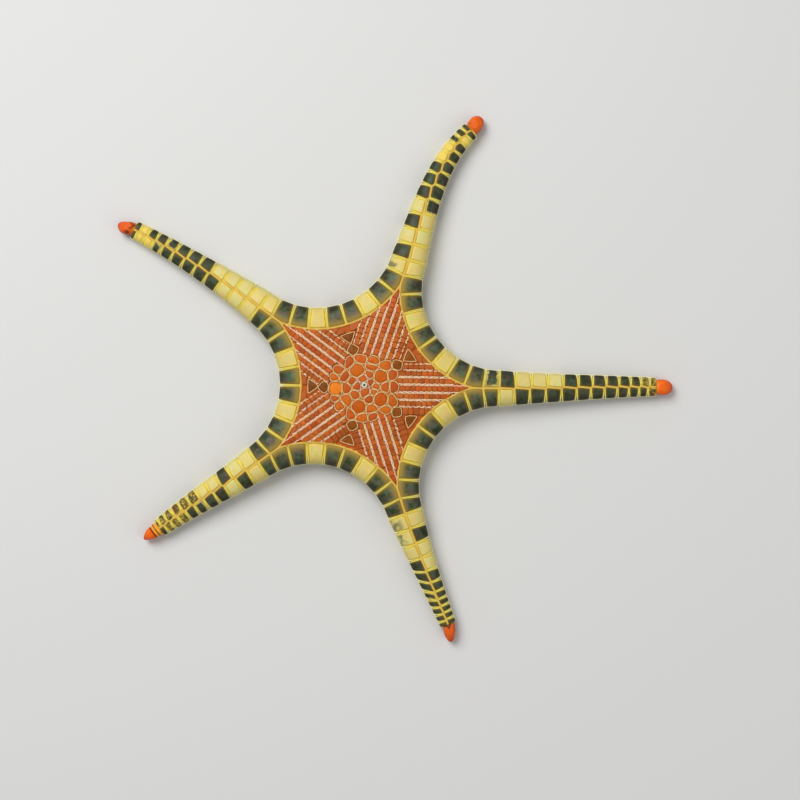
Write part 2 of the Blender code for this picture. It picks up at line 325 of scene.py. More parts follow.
def field_bake_place(x, y, under=False):
    """Where a spot of the disc's face lies on the unwrapped skin, from 0 to 1."""
    u = (0.75 if under else 0.25) + 0.23 * x / BAKE_HALF
    return np.stack((u, 0.75 + 0.23 * y / BAKE_HALF), axis=-1)


# Mesh helpers -----------------------------------------------------------------

def unit(vectors):
    return vectors / np.maximum(np.linalg.norm(vectors, axis=-1, keepdims=True), 1e-12)


def points_of(bm):
    return np.array([vert.co for vert in bm.verts])


def put(bm, points):
    """Move a mesh's points to new places."""
    for vert, point in zip(bm.verts, points):
        vert.co = point


def close(bm):
    """Fill the open ends of a mesh and turn its faces outwards."""
    bmesh.ops.holes_fill(bm, edges=[edge for edge in bm.edges if edge.is_boundary], sides=0)
    bmesh.ops.recalc_face_normals(bm, faces=bm.faces)


def set_values(mesh, name, values):
    """Store a named number at each of a mesh's points."""
    layer = mesh.attributes.new(name, "FLOAT", "POINT")
    layer.data.foreach_set("value", values.astype(np.float32))


class Batch:
    """Gathers many small shapes into one joined mesh, with named values at its points."""

    def __init__(self):
        self.points = []
        self.faces = []
        self.values = {}
        self.count = 0

    def add(self, bm, **values):
        bm.verts.index_update()
        start = self.count
        points = points_of(bm)
        self.points.append(points)
        self.faces += [[start + vert.index for vert in face.verts] for face in bm.faces]
        for name, value in values.items():
            self.values.setdefault(name, []).append(np.broadcast_to(value, len(points)))
        self.count += len(points)
        bm.free()

    def build(self, name, material, slot, angle=50.0):
        mesh = bpy.data.meshes.new(name)
        mesh.from_pydata(np.concatenate(self.points).tolist(), [], self.faces)
        for key, parts in self.values.items():
            set_values(mesh, key, np.concatenate(parts))
        return finish_piece(name, mesh, material, angle)


def stand(name, data):
    """Put new data into the scene as an object."""
    thing = bpy.data.objects.new(name, data)
    bpy.context.scene.collection.objects.link(thing)
    return thing


def finish_piece(name, mesh, material, angle):
    """Shade a mesh, smooth up to an angle in degrees, and ride it on the body."""
    mesh.update()
    mesh.shade_smooth()
    mesh.set_sharp_from_angle(angle=angle * DEGREE)
    mesh.materials.append(material)
    piece = stand(name, mesh)
    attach(piece, "root")
    return piece


def scatter(name, bm, spots, material):
    """Copy one small shape to many spots as one joined mesh.

    A spot is (place, direction of the shape's own +Z, size, place on the unwrapped skin,
    tone). The map OFBake gives each copy its own small patch.
    """
    bm.verts.index_update()
    shape = points_of(bm)
    faces = [[vert.index for vert in face.verts] for face in bm.faces]
    bm.free()
    places, normals, sizes, patches, tones = (np.concatenate(part) for part in zip(*spots))
    helper = np.where(np.abs(normals[:, 2:3]) > 0.9, (1.0, 0.0, 0.0), (0.0, 0.0, 1.0))
    first = unit(np.cross(helper, normals))
    axes = np.stack((first, np.cross(normals, first), normals), axis=1)
    points = places[:, None, :] + sizes[:, None, None] * (shape @ axes)
    count, size = points.shape[:2]
    mesh = bpy.data.meshes.new(name)
    all_faces = [[i * size + corner for corner in face] for i in range(count) for face in faces]
    mesh.from_pydata(points.reshape(-1, 3).tolist(), [], all_faces)
    reach = np.abs(shape[:, :2]).max()
    patch = patches[:, None, :] + shape[None, :, :2] / reach * BAKE_PATCH
    corner_of = np.empty(len(mesh.loops), dtype=np.int32)
    mesh.loops.foreach_get("vertex_index", corner_of)
    layer = mesh.uv_layers.new(name="OFBake")
    layer.data.foreach_set("uv", patch.reshape(-1, 2)[corner_of].astype(np.float32).ravel())
    set_values(mesh, "tone", np.repeat(tones, size))
    return finish_piece(name, mesh, material, 80.0)


def bead_shape(detail=1):
    """A round granule of unit radius."""
    bm = bmesh.new()
    bmesh.ops.create_icosphere(bm, subdivisions=detail, radius=1.0)
    return bm


def spine_shape():
    """A short blunt spine of unit length along +Z."""
    bm = bmesh.new()
    bmesh.ops.create_cone(bm, cap_ends=True, segments=6, radius1=0.16, radius2=0.13, depth=0.9)
    bmesh.ops.translate(bm, verts=bm.verts, vec=(0.0, 0.0, 0.45))
    top = [face for face in bm.faces if face.calc_center_median().z > 0.85]
    bmesh.ops.inset_individual(bm, faces=top, thickness=0.06, depth=0.07)
    return bm


def foot_shape():
    """A tube foot of unit radius: a stalk that ends in a sucker, pointing along +Z."""
    bm = bmesh.new()
    profile = ((0.55, -3.6), (0.50, -1.6), (0.58, -0.5), (1.0, -0.12), (0.92, 0.0), (0.35, -0.12))
    line = [bm.verts.new((radius, 0.0, z)) for radius, z in profile]
    edges = [bm.edges.new(pair) for pair in zip(line, line[1:])]
    bmesh.ops.spin(bm, geom=line + edges, cent=(0, 0, 0), axis=(0, 0, 1), angle=2 * math.pi,
                   steps=8, use_merge=True)
    close(bm)
    return bm


# Cushion-shaped plates --------------------------------------------------------

def rounded(x, y, half_x, half_y, radius):
    """Pull a square grid's corners onto arcs. Returns the points and their edge distance."""
    dx = np.abs(x) - (half_x - radius)
    dy = np.abs(y) - (half_y - radius)
    corner = (dx > 0) & (dy > 0)
    far = np.hypot(dx, dy)
    pull = np.where(corner, np.maximum(dx, dy) / np.maximum(far, 1e-12), 1.0)
    new_x = np.where(corner, np.sign(x) * (half_x - radius + dx * pull), x)
    new_y = np.where(corner, np.sign(y) * (half_y - radius + dy * pull), y)
    edge = np.where(corner, radius - far * pull, np.minimum(half_x - np.abs(x),
                                                            half_y - np.abs(y)))
    return new_x, new_y, edge


def cushion(half_x, half_y, mapper, steps, corner=CORNER, depth=COAT, crown=0.06 * MM):
    """A closed plate with a rounded rim, laid on a surface by mapper(x, y, lift)."""
    bm = bmesh.new()
    bmesh.ops.create_grid(bm, x_segments=steps[0], y_segments=steps[1], size=1.0)
    rim = [edge for edge in bm.edges if edge.is_boundary]
    skirt = bmesh.ops.extrude_edge_only(bm, edges=rim)["geom"]
    skirt = {item for item in skirt if isinstance(item, bmesh.types.BMVert)}
    raw = points_of(bm)
    sunk = np.array([vert in skirt for vert in bm.verts])
    spread = np.sign(raw) * (1.0 - (1.0 - np.abs(raw)) ** 1.8)
    radius = min(corner, half_x * 0.9, half_y * 0.9)
    x, y, edge = rounded(spread[:, 0] * half_x, spread[:, 1] * half_y, half_x, half_y, radius)
    near = np.clip(edge / EDGE_ROUND, 0.0, 1.0)
    lift = -depth * (1.0 - np.sqrt(np.maximum(1.0 - (1.0 - near) ** 2, 0.0)))
    lift -= crown * ((x / half_x) ** 2 + (y / half_y) ** 2) / 2
    put(bm, mapper(x, y, np.where(sunk, -depth - ROOTED, lift)))
    close(bm)
    return bm, edge, (x, y)


def ring_of(half_x, half_y, radius, pitch):
    """Evenly spaced points round a rounded rectangle."""
    straights = half_x - radius, half_y - radius
    total = 4 * sum(straights) + 2 * math.pi * radius
    count = max(8, round(total / pitch))
    corner = radius * math.pi / 2
    points = []
    for i in range(count):
        d = total * (i + 0.5) / count
        for quarter in range(4):
            a, b = straights if quarter % 2 == 0 else straights[::-1]
            if d < 2 * b + corner:
                break
            d -= 2 * b + corner
        if d < 2 * b:
            spot = complex(a + radius, d - b)
        else:
            spot = complex(a, b) + cmath.rect(radius, (d - 2 * b) / radius)
        points.append(spot * 1j ** quarter)
    return np.array([(spot.real, spot.imag) for spot in points])


# A marginal plate narrows outwards by SPLAY, less where it is shorter than twice SPLAY_ROOM,
# and by half as much again once its arm is free of the disc by HALO_FADE, where the brown
# halo of its inner edge has faded too. Pale plates turn golden between the distances GOLDEN.
SPLAY = 0.26 * MM
FREE_SPLAY = 0.5
SPLAY_ROOM = 1.3 * MM
HALO_FADE = 7.0 * MM
HALO_SHIFT = 2.2 * MM
CROWN = 0.13 * MM
GOLDEN = (32.0 * MM, 44.0 * MM)
# How deep the granules of the seams are sunk, how far they stay off the floor and inside the
# end of a row's last plate, and how much larger and wider apart they are along the lower
# plates. Those between the frame and the disc's field lie BORDER beyond the field.
GRANULE_SINK = 0.09 * MM
FLOOR_ROOM = 0.02 * MM
END_ROOM = 0.05 * MM
LOWER_SIZE = 1.2
LOWER_PITCH = 1.25
BORDER = 0.08 * MM
BORDER_SINK = 0.14 * MM


def flank_plate(flank, start, stop, upper, at_end):
    """One marginal plate and the ring of granules round it, open towards the cap."""
    first, last = (0.0, 1.0) if upper else (1.0, 2.0)
    middle = (start + stop) / 2
    girth = flank.girth(middle, first, last)
    half_x = (stop - start - SEAM) / 2
    half_y = (girth - SEAM) / 2
    free = min(max(middle - FRAME_RUN, 0.0) / HALO_FADE, 1.0)
    splay = SPLAY * (1.0 + FREE_SPLAY * free) * min(1.0, half_x / SPLAY_ROOM)

    def spot(x, y):
        share = np.clip((y + half_y) / (2 * half_y), 0.0, 1.0) if upper else 1.0
        return (middle + x * (1.0 - splay / (2 * half_x) * share),
                (first + last) / 2 + y / girth)

    def mapper(x, y, lift):
        return flank.lifted(*spot(x, y), lift)

    steps = (13, 15) if upper else (11, 11)
    bm, edge, (x, y) = cushion(half_x, half_y, mapper, steps, crown=CROWN)
    ring = ring_of(half_x + SEAM / 4, half_y + SEAM / 4, min(CORNER, half_x * 0.9) + SEAM / 4,
                   GRANULE_PITCH * (1.0 if upper else LOWER_PITCH))
    if at_end:
        ring = ring[ring[:, 0] < half_x - END_ROOM]
    along, turn = spot(ring[:, 0], ring[:, 1])
    sizes = GRANULE * (1.0 if upper else LOWER_SIZE) * RANDOM.uniform(0.88, 1.12, len(ring))
    places = flank.lifted(along, turn, np.full(len(ring), -GRANULE_SINK))
    places[:, 2] = np.maximum(places[:, 2], sizes + FLOOR_ROOM)
    spots = places, flank.normal(along, turn), sizes, flank.bake_place(along, turn), turn
    inner = y + half_y if upper else np.full(len(y), half_y)
    values = {"edge": edge * (1.0 + 0.8 * free), "inner": inner + HALO_SHIFT * free,
              "turn": spot(x, y)[1], "free": free,
              "outer": np.interp(middle, GOLDEN, (0.0, 1.0))}
    return bm, spots, values


def plate_spans(flank):
    """(start, stop, colour) of every plate along a flank."""
    edges = [FRAME_RUN * i / FRAME_PLATES for i in range(FRAME_PLATES)]
    edges += plate_edges(flank.arm, flank.side).tolist()
    return list(zip(edges, edges[1:], FRAME_COLOURS + of_side(flank.arm.colours, flank.side)))


def build_marginal_plates(paints):
    """Upper and lower marginal plates of every flank, and the granules in their seams."""
    kinds = {"D": "dark", "P": "pale", "M": "mottled", "C": "clouded", "W": "worn"}
    upper = {kind: Batch() for kind in kinds.values()}
    lower = {kind: Batch() for kind in ("dark", "pale")}
    granules = {"frame": [], "arm": [], "lower": []}
    for number, side in product(RAYS, SIDES):
        flank = Flank(number, side)
        spans = plate_spans(flank)
        for start, stop, colour in spans:
            kind, tone = kinds[colour], RANDOM.uniform(0.0, 1.0)
            part = "frame" if stop <= FRAME_RUN * 1.001 else "arm"
            below = lower["pale" if colour in "PC" else "dark"]
            for batch, place, is_upper in ((upper[kind], part, True), (below, "lower", False)):
                bm, spots, values = flank_plate(flank, start, stop, is_upper,
                                                stop == spans[-1][1])
                batch.add(bm, tone=tone, **values)
                granules[place].append(spots)
    granules["frame"] += [border_granules(bay) for bay in RAYS]
    for row, batches in (("upper", upper), ("lower", lower)):
        for kind, batch in batches.items():
            batch.build(f"{row}_plates_{kind}", paints[kind],
                        "dark_plate" if kind == "dark" else "pale_plate")
    for part, spots in granules.items():
        scatter(f"{part}_granules", bead_shape(), spots, paints["granule"])


def border_granules(bay):
    """The granules between the frame and the disc's field in one bay."""
    radius = FIELD_RADIUS + BORDER
    limit = SQUARE - math.acos(BAY_ASIDE / radius)
    count = round(2 * limit * radius / GRANULE_PITCH)
    x, y = bay_place(bay, radius, np.linspace(-limit, limit, count))
    sizes = GRANULE * RANDOM.uniform(0.88, 1.12, count)
    return on_dome(x, y, BORDER_SINK, sizes, np.zeros(count))


def on_dome(x, y, sink, sizes, tones):
    """Upright granules on the disc's upper face, their middles a little below it."""
    places = np.stack((x, y, dome(x, y) - sink), axis=-1)
    normals = np.tile((0.0, 0.0, 1.0), (len(x), 1))
    return places, normals, sizes, field_bake_place(x, y), tones


# The disc's field -------------------------------------------------------------

Seed = namedtuple("Seed", "x y reach kind ray row")


def polar(radius, degrees):
    return radius * math.cos(degrees * DEGREE), radius * math.sin(degrees * DEGREE)


BAY_MIDDLES = [polar(BAY_DISTANCE, 36 + 72 * bay) for bay in RAYS]


def inside_field(x, y, margin):
    """Whether a place lies inside the star-shaped field by a margin."""
    return all(math.hypot(x - middle_x, y - middle_y) >= FIELD_RADIUS + margin
               for middle_x, middle_y in BAY_MIDDLES)


def inside_sector(s, t, margin):
    """Whether a place by a ray's axis lies short of the bays' middles by a margin."""
    return s * math.sin(ARM_STEP / 2) - abs(t) * math.cos(ARM_STEP / 2) >= margin


def ray_turn(ray):
    return Matrix.Rotation(ARM_STEP * ray, 2)


SIEVE = (-6.7 * MM, -0.6 * MM)
VENT = (-0.3 * MM, 0.3 * MM)

# Plates about the middle of the disc: radius in mm, degrees, size in mm.
CENTRE_PLATES = (
    ("centre", ((1.85, 110, 0.85), (1.46, 37, 0.62), (1.30, -91, 0.85), (2.00, 177, 0.85),
                (3.10, -142, 0.78), (2.25, 1, 0.70), (2.30, -32, 0.60), (4.45, 1, 0.85),
                (6.50, 1, 1.00), (2.90, 71, 0.80), (4.40, 72, 0.82), (6.10, 74, 0.90),
                (3.30, 161, 0.95), (5.10, 156, 0.92), (7.10, 151, 0.95), (5.20, -143, 0.95),
                (7.40, -142, 0.95), (3.00, -73, 0.80), (5.20, -75, 0.88), (7.10, -75, 0.95))),
    ("primary", ((4.08, 119, 1.48), (4.05, 33, 1.48), (4.50, -40, 1.50), (4.90, -107.5, 1.48))),
    ("centre", ((6.50, 102, 0.98), (6.60, 125, 0.98), (6.50, 46, 0.98), (6.60, 24, 0.98),
                (7.10, -49, 0.98), (6.90, -29, 0.98), (7.20, -96, 0.98), (7.30, -118, 0.98),
                (4.50, -175, 1.10), (7.50, 164, 0.85), (7.60, -160, 0.85))),
    ("brown", ((9.5, 182, 1.05), (8.85, 110, 1.05), (8.7, 34.8, 1.05), (9.2, -38.8, 1.05),
               (9.4, -108.3, 1.05), (11.95, 180.5, 1.0), (11.5, 110, 1.0), (11.65, 34.8, 1.0),
               (12.35, -36.6, 1.0), (12.5, -107.4, 1.0))),
)
SIEVE_ROOM = 1.55 * MM
VENT_ROOM = 0.56 * MM

# Sides of the inner and outer brown plates: degrees from straight outwards, distance from
# the plate's middle in mm.
INNER_BROWN = ((45, 0.92), (-45, 0.92), (125, 1.15), (-125, 1.15))
OUTER_BROWN = ((0, 0.98), (126, 0.80), (-126, 0.80))
OUTER_BROWN_START = 11.0 * MM

# Rows of plates along each ray: how far in mm each row lies from the middle one, and how far
# each ray's rows are shifted to the left.
ROW_PLACES = (0.0, 1.78, 3.34, 4.86, 6.36)
RAY_SHIFTS = (-0.35, 0.20, 0.42, 0.37, -0.25)
RAY_START = 7.2 * MM
RAY_STEPS = 18
PLATE_PITCH = 1.2 * MM
PLATE_DRIFT = 0.13 * MM
ROW_GAP = 0.54 * MM
CROSS_GAP = 0.04 * MM
FIELD_GAP = 0.34 * MM
FIELD_EDGE = 0.18 * MM

# A ray's plate: its reach, and how far its middle stays from the bays' middle lines, the
# field's edge and the brown plates. From another special plate it stays that one's reach and
# SPECIAL_ROOM away, all times CROWDING.
RAY_REACH = 0.80 * MM
BAY_ROOM = 0.55 * MM
EDGE_ROOM = 0.42 * MM
BROWN_ROOM = 0.42 * MM
SPECIAL_ROOM = 0.75 * MM
CROWDING = 0.84

# Round blanks that plates are cut from, how far their neighbours are looked for, how close
# corners are joined and count as on a seam, and the smallest plate that is kept.
BLANKS = {"ray": 1.35 * MM, "centre": 1.75 * MM, "brown": 1.75 * MM}
BLANK_ROOM = 1.06
NEIGHBOUR = 4.2 * MM
JOINED = 0.03 * MM
ON_SEAM = 0.02 * MM
SMALLEST = 0.25 * MM * MM


def brown_walls(seed):
    """The sides of a bay's brown plates, which point at each other."""
    outwards = math.degrees(math.atan2(seed.y, seed.x))
    outer = math.hypot(seed.x, seed.y) > OUTER_BROWN_START
    return [(Vector(polar(1.0, outwards + turn)), reach * MM)
            for turn, reach in (OUTER_BROWN if outer else INNER_BROWN)]


def beyond_brown(x, y, brown):
    """The brown plate's side that a point is furthest beyond, and how far."""
    away = Vector((x - brown.x, y - brown.y))
    return max(((away.dot(normal) - reach, normal) for normal, reach in brown_walls(brown)),
               key=lambda side: side[0])


def special_seeds():
    """Plates about the middle of the disc, and the brown pair in each bay."""
    seeds = [Seed(*polar(radius * MM, degrees), reach * MM, kind, None, None)
             for kind, plates in CENTRE_PLATES for radius, degrees, reach in plates]
    return seeds + [Seed(*SIEVE, SIEVE_ROOM, "sieve", None, None),
                    Seed(*VENT, VENT_ROOM, "vent", None, None)]


def clear_of(x, y, other):
    """Whether there is room at a place for a ray's plate beside one of the special ones."""
    if other.kind == "brown":
        return beyond_brown(x, y, other)[0] > BROWN_ROOM
    return math.hypot(x - other.x, y - other.y) > CROWDING * (other.reach + SPECIAL_ROOM)


def ray_seeds(special):
    """Rows of plates side by side along each ray of the disc."""
    seeds = []
    rows = range(1 - len(ROW_PLACES), len(ROW_PLACES))
    for ray, row, step in product(RAYS, rows, range(RAY_STEPS)):
        s = RAY_START + (step + 0.5 * (row % 2)) * PLATE_PITCH
        s += RANDOM.normal(0.0, PLATE_DRIFT)
        t = (RAY_SHIFTS[ray] + math.copysign(ROW_PLACES[abs(row)], row)) * MM
        x, y = ray_turn(ray) @ Vector((s, t))
        if (inside_sector(s, t, BAY_ROOM) and inside_field(x, y, EDGE_ROOM)
                and all(clear_of(x, y, other) for other in special)):
            seeds.append(Seed(x, y, RAY_REACH, "ray", ray, row))
    return seeds


def same_ray(a, b):
    return a.kind == b.kind == "ray" and a.ray == b.ray


def row_wall(a, b):
    """The straight side of a row's plate towards a neighbour on the same ray."""
    turn = ray_turn(a.ray)
    away = turn.transposed() @ Vector((b.x - a.x, b.y - a.y))
    axis, gap = (0, CROSS_GAP) if a.row == b.row else (1, ROW_GAP)
    direction = Vector((0.0, 0.0))
    direction[axis] = math.copysign(1.0, away[axis])
    return (turn @ direction).to_3d(), (abs(away[axis]) - gap) / 2


def cell(seed, seeds, walls):
    """The outline of one plate, cut from a round blank by its neighbours and by walls.

    Returns the face's mesh and its seams: (start, end, direction, neighbour).
    """
    here = Vector((seed.x, seed.y, 0.0))
    bm = bmesh.new()
    bmesh.ops.create_circle(bm, cap_ends=True, segments=28,
                            radius=BLANKS.get(seed.kind, BLANK_ROOM * seed.reach))
    bmesh.ops.translate(bm, verts=bm.verts, vec=here)
    planes = []
    for other in seeds:
        dx, dy = other.x - seed.x, other.y - seed.y
        apart = math.hypot(dx, dy)
        kinds = seed.kind, other.kind
        if other is seed or apart > NEIGHBOUR or kinds == ("brown", "ray"):
            continue
        if same_ray(seed, other):
            if abs(seed.row - other.row) <= 1:
                planes.append((*row_wall(seed, other), other))
        elif kinds == ("ray", "brown"):
            beyond, normal = beyond_brown(seed.x, seed.y, other)
            planes.append((-normal.to_3d(), beyond - FIELD_GAP, other))
        else:
            reach = (apart ** 2 + seed.reach ** 2 - other.reach ** 2) / (2 * apart)
            planes.append((Vector((dx / apart, dy / apart, 0.0)), reach - FIELD_GAP / 2, other))
    planes += [(Vector((*direction, 0.0)), reach, None) for direction, reach in walls(seed)]
    for direction, reach, _ in planes:
        bmesh.ops.bisect_plane(bm, geom=bm.verts[:] + bm.edges[:] + bm.faces[:],
                               plane_co=here + direction * reach, plane_no=direction,
                               clear_outer=True)
        if not bm.faces:
            return bm, []
    bmesh.ops.remove_doubles(bm, verts=bm.verts, dist=JOINED)
    seams = []
    for edge in bm.edges:
        start, end = (vert.co.copy() for vert in edge.verts)
        centre = (start + end) / 2 - here
        for direction, reach, other in planes:
            if abs(centre.dot(direction) - reach) < ON_SEAM:
                seams.append((start, end, direction, other))
                break
    return bm, seams


def field_walls(seed):
    """The frame's inner edge near a plate of the field, as straight cuts."""
    cuts = []
    for middle_x, middle_y in BAY_MIDDLES:
        dx, dy = middle_x - seed.x, middle_y - seed.y
        apart = math.hypot(dx, dy)
        cuts.append(((dx / apart, dy / apart), apart - FIELD_RADIUS - FIELD_EDGE))
    return cuts + (brown_walls(seed) if seed.kind == "brown" else [])


def outlines(seeds, walls):
    """Yield each plate's seed, outline and seams, and leave out slivers."""
    for seed in seeds:
        bm, seams = cell(seed, seeds, walls)
        if bm.faces and only_face(bm).calc_area() >= SMALLEST:
            yield seed, bm, seams
        else:
            bm.free()


def only_face(bm):
    return next(iter(bm.faces))


def soften(bm, times):
    """Round a flat outline's corners."""
    bmesh.ops.subdivide_edges(bm, edges=bm.edges[:], cuts=3)
    for _ in range(times):
        bmesh.ops.smooth_vert(bm, verts=bm.verts, factor=0.5, use_axis_x=True, use_axis_y=True)


# Profiles of a plate's rim: distance in from the outline in mm, share of the full height.
RIM = ((0.00, 0.45), (0.05, 0.68), (0.13, 0.86), (0.26, 0.97))
LOW_RIM = ((0.00, 0.76), (0.04, 0.88), (0.09, 0.95), (0.20, 0.99))


def raise_face(bm, face):
    """Extrude a face in its place and return the new one."""
    made = bmesh.ops.extrude_face_region(bm, geom=[face])["geom"]
    return next(item for item in made if isinstance(item, bmesh.types.BMFace))


def pave(bm, surface, down=False, rim=RIM):
    """Raise a flat outline into a cushion on a surface, the coat's depth thick.

    Returns the closed plate and, for each point, how far up the cushion it is.
    """
    top = raise_face(bm, only_face(bm))
    centre = top.calc_center_median()
    inset = 0.0
    for step, (reach, level) in enumerate(rim):
        if step > 0:
            below, top = top, raise_face(bm, top)
            bmesh.ops.delete(bm, geom=[below], context="FACES_ONLY")
        for vert in top.verts:
            away = vert.co - centre
            away.z = 0.0
            away.length = max(away.length - (reach - inset) * MM, 0.35 * away.length)
            vert.co = centre + away
            vert.co.z = level * COAT
        inset = reach
    bmesh.ops.poke(bm, faces=[top], offset=0.04 * COAT)
    points = points_of(bm)
    height = points[:, 2].copy()
    base = surface(points[:, 0], points[:, 1])
    points[:, 2] = base + COAT - height if down else base - COAT + height
    put(bm, points)
    bmesh.ops.recalc_face_normals(bm, faces=bm.faces)
    if bm.calc_volume(signed=True) < 0:
        bmesh.ops.reverse_faces(bm, faces=bm.faces)
    return bm, height / COAT


def build_field(paints):
    """The paving of the disc's upper face, with pale granules along its seams."""
    special = special_seeds()
    batches = {kind: Batch() for kind in ("ray", "centre", "primary", "brown")}
    spots = []
    for seed, bm, seams in outlines(special + ray_seeds(special), field_walls):
        on_ray = seed.kind == "ray"
        soften(bm, 1 if on_ray else 2)
        if on_ray:
            spots += rope_granules(seed, seams)
        elif seed.kind != "vent":
            spots.append(ring_granules(only_face(bm)))
        if seed.kind in batches:
            bm, height = pave(bm, dome, rim=LOW_RIM if on_ray else RIM)
            batches[seed.kind].add(bm, height=height, tone=RANDOM.uniform(0.0, 1.0),
                                   row=abs(seed.row) if on_ray else 0)
        else:
            bm.free()
    for kind, batch in batches.items():
        batch.build(f"{kind}_plates", paints[kind], "disc_plate")
    scatter("disc_granules", bead_shape(), spots, paints["disc_granule"])


# How white the ropes are, from a ray's middle outwards, and how deep their breaks.
ROPE_TONES = ((0.98, 0.25), (0.92, 0.45), (0.90, 0.85), (0.62, 0.60))
# A rope bows out beside each plate, and its granules stray a little and are smaller by
# ROPE_FINE at the breaks of the outer rows.
ROPE_PITCH = 0.21 * MM
ROPE_GRANULE = 0.156 * MM
ROPE_SINK = 0.12 * MM
ROPE_BOW = 0.06 * MM
ROPE_STRAY = 0.02 * MM
ROPE_FINE = 0.02 * MM
RING_PITCH = 0.195 * MM
RING_GRANULE = 0.115 * MM
RING_SINK = 0.04 * MM
# Distances from the vent between which the granules of the middle turn from white to amber.
WHITE_FADE = (1.0 * MM, 2.6 * MM)


def rope_granules(seed, seams):
    """Granules along a ray plate's outer sides. Their tone says how white they are."""
    spots = []
    for start, end, direction, other in seams:
        if other is None or not same_ray(seed, other) or seed.row == other.row:
            continue
        count = max(1, round((end - start).length / ROPE_PITCH))
        share = (np.arange(count) + 0.5) / count
        line = np.outer(1 - share, start) + np.outer(share, end)
        bow = ROW_GAP / 4 - ROPE_BOW * np.cos(2 * math.pi * share)
        bow += RANDOM.normal(0.0, ROPE_STRAY, count)
        line += np.array(direction) * bow[:, None]
        far = min(abs(seed.row), abs(other.row))
        white, break_depth = ROPE_TONES[min(far, len(ROPE_TONES) - 1)]
        ends = np.clip((np.abs(share - 0.5) - 0.18) / 0.2, 0.0, 1.0)
        tones = white - break_depth * ends + RANDOM.normal(0.0, 0.20, count)
        sizes = ROPE_GRANULE - ROPE_FINE * ends * (far > 1)
        sizes *= RANDOM.uniform(0.85, 1.12, count)
        spots.append(on_dome(line[:, 0], line[:, 1], ROPE_SINK, sizes, np.clip(tones, 0.0, 1.0)))
    return spots


def ring_granules(outline):
    """A ring of granules round one plate of the disc's middle."""
    centre = np.array(outline.calc_center_median())[:2]
    away = np.array([vert.co for vert in outline.verts])[:, :2] - centre
    away *= 1.0 + (FIELD_GAP / 4) / np.linalg.norm(away, axis=1, keepdims=True)
    corners = np.vstack((centre + away, centre + away[:1]))
    run = run_of(np.linalg.norm(np.diff(corners, axis=0), axis=1))
    count = max(6, round(run[-1] / RING_PITCH))
    along = np.arange(count) * run[-1] / count
    x, y = (np.interp(along, run, corners[:, axis]) for axis in (0, 1))
    tones = np.interp(np.hypot(x - VENT[0], y - VENT[1]), WHITE_FADE, (1.0, 0.5))
    tones = np.clip(tones + RANDOM.normal(0.0, 0.08, count), 0.0, 1.0)
    return on_dome(x, y, RING_SINK, RING_GRANULE * RANDOM.uniform(0.85, 1.12, count), tones)


def build_vent(paints):
    """The ring of white granules round the dark vent in the middle of the upper face."""
    for name, paint, detail, count, radius, size, sink in (
            ("vent_granules", "white", 2, 9, 0.46 * MM, 0.20 * MM, 0.08 * MM),
            ("vent", "vent", 3, 1, 0.0, 0.24 * MM, 0.14 * MM)):
        angle = np.arange(count) * 2 * math.pi / count
        ring = on_dome(VENT[0] + radius * np.cos(angle), VENT[1] + radius * np.sin(angle), sink,
                       np.full(count, size), np.ones(count))
        scatter(name, bead_shape(detail), [ring], paints[paint])


def build_sieve_plate(paints):
    """The madreporite: a low dome with fine radiating grooves."""
    low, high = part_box("madreporite")
    middle, radius = (low + high) / 2, (high.x - low.x) / 2
    rise, grooves, depth = 0.30 * MM, 18, 0.03 * MM
    bm = bmesh.new()
    bmesh.ops.create_uvsphere(bm, u_segments=72, v_segments=24, radius=1.0)
    for vert in bm.verts:
        x, y, z = vert.co
        out = math.hypot(x, y)
        wave = grooves * math.atan2(y, x) + 2.5 * math.sin(5 * out)
        lift = math.copysign(abs(z) ** 0.8, z) * rise
        if z > 0:
            lift += depth * math.cos(wave) * min(1.0, 2.5 * out) * (1.0 - out ** 6)
        vert.co = (middle.x + x * radius, middle.y + y * radius, high.z - rise + lift)
    batch = Batch()
    batch.add(bm, tone=0.5, height=0.5)
    piece = batch.build("madreporite_plate", paints["sieve"], "sieve_plate")
    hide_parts("madreporite")


# Arm tips ---------------------------------------------------------------------

# How far a cap reaches over the last plates, how far it stays off the floor, and how deep
# the notch over the furrow is.
CAP_OVERLAP = 0.12 * MM
CAP_FLOOR = 0.03 * MM
NOTCH = 0.55 * MM


def bell(x, middle, width):
    """A smooth bump of height 1."""
    return np.exp(-((x - middle) / width) ** 2)


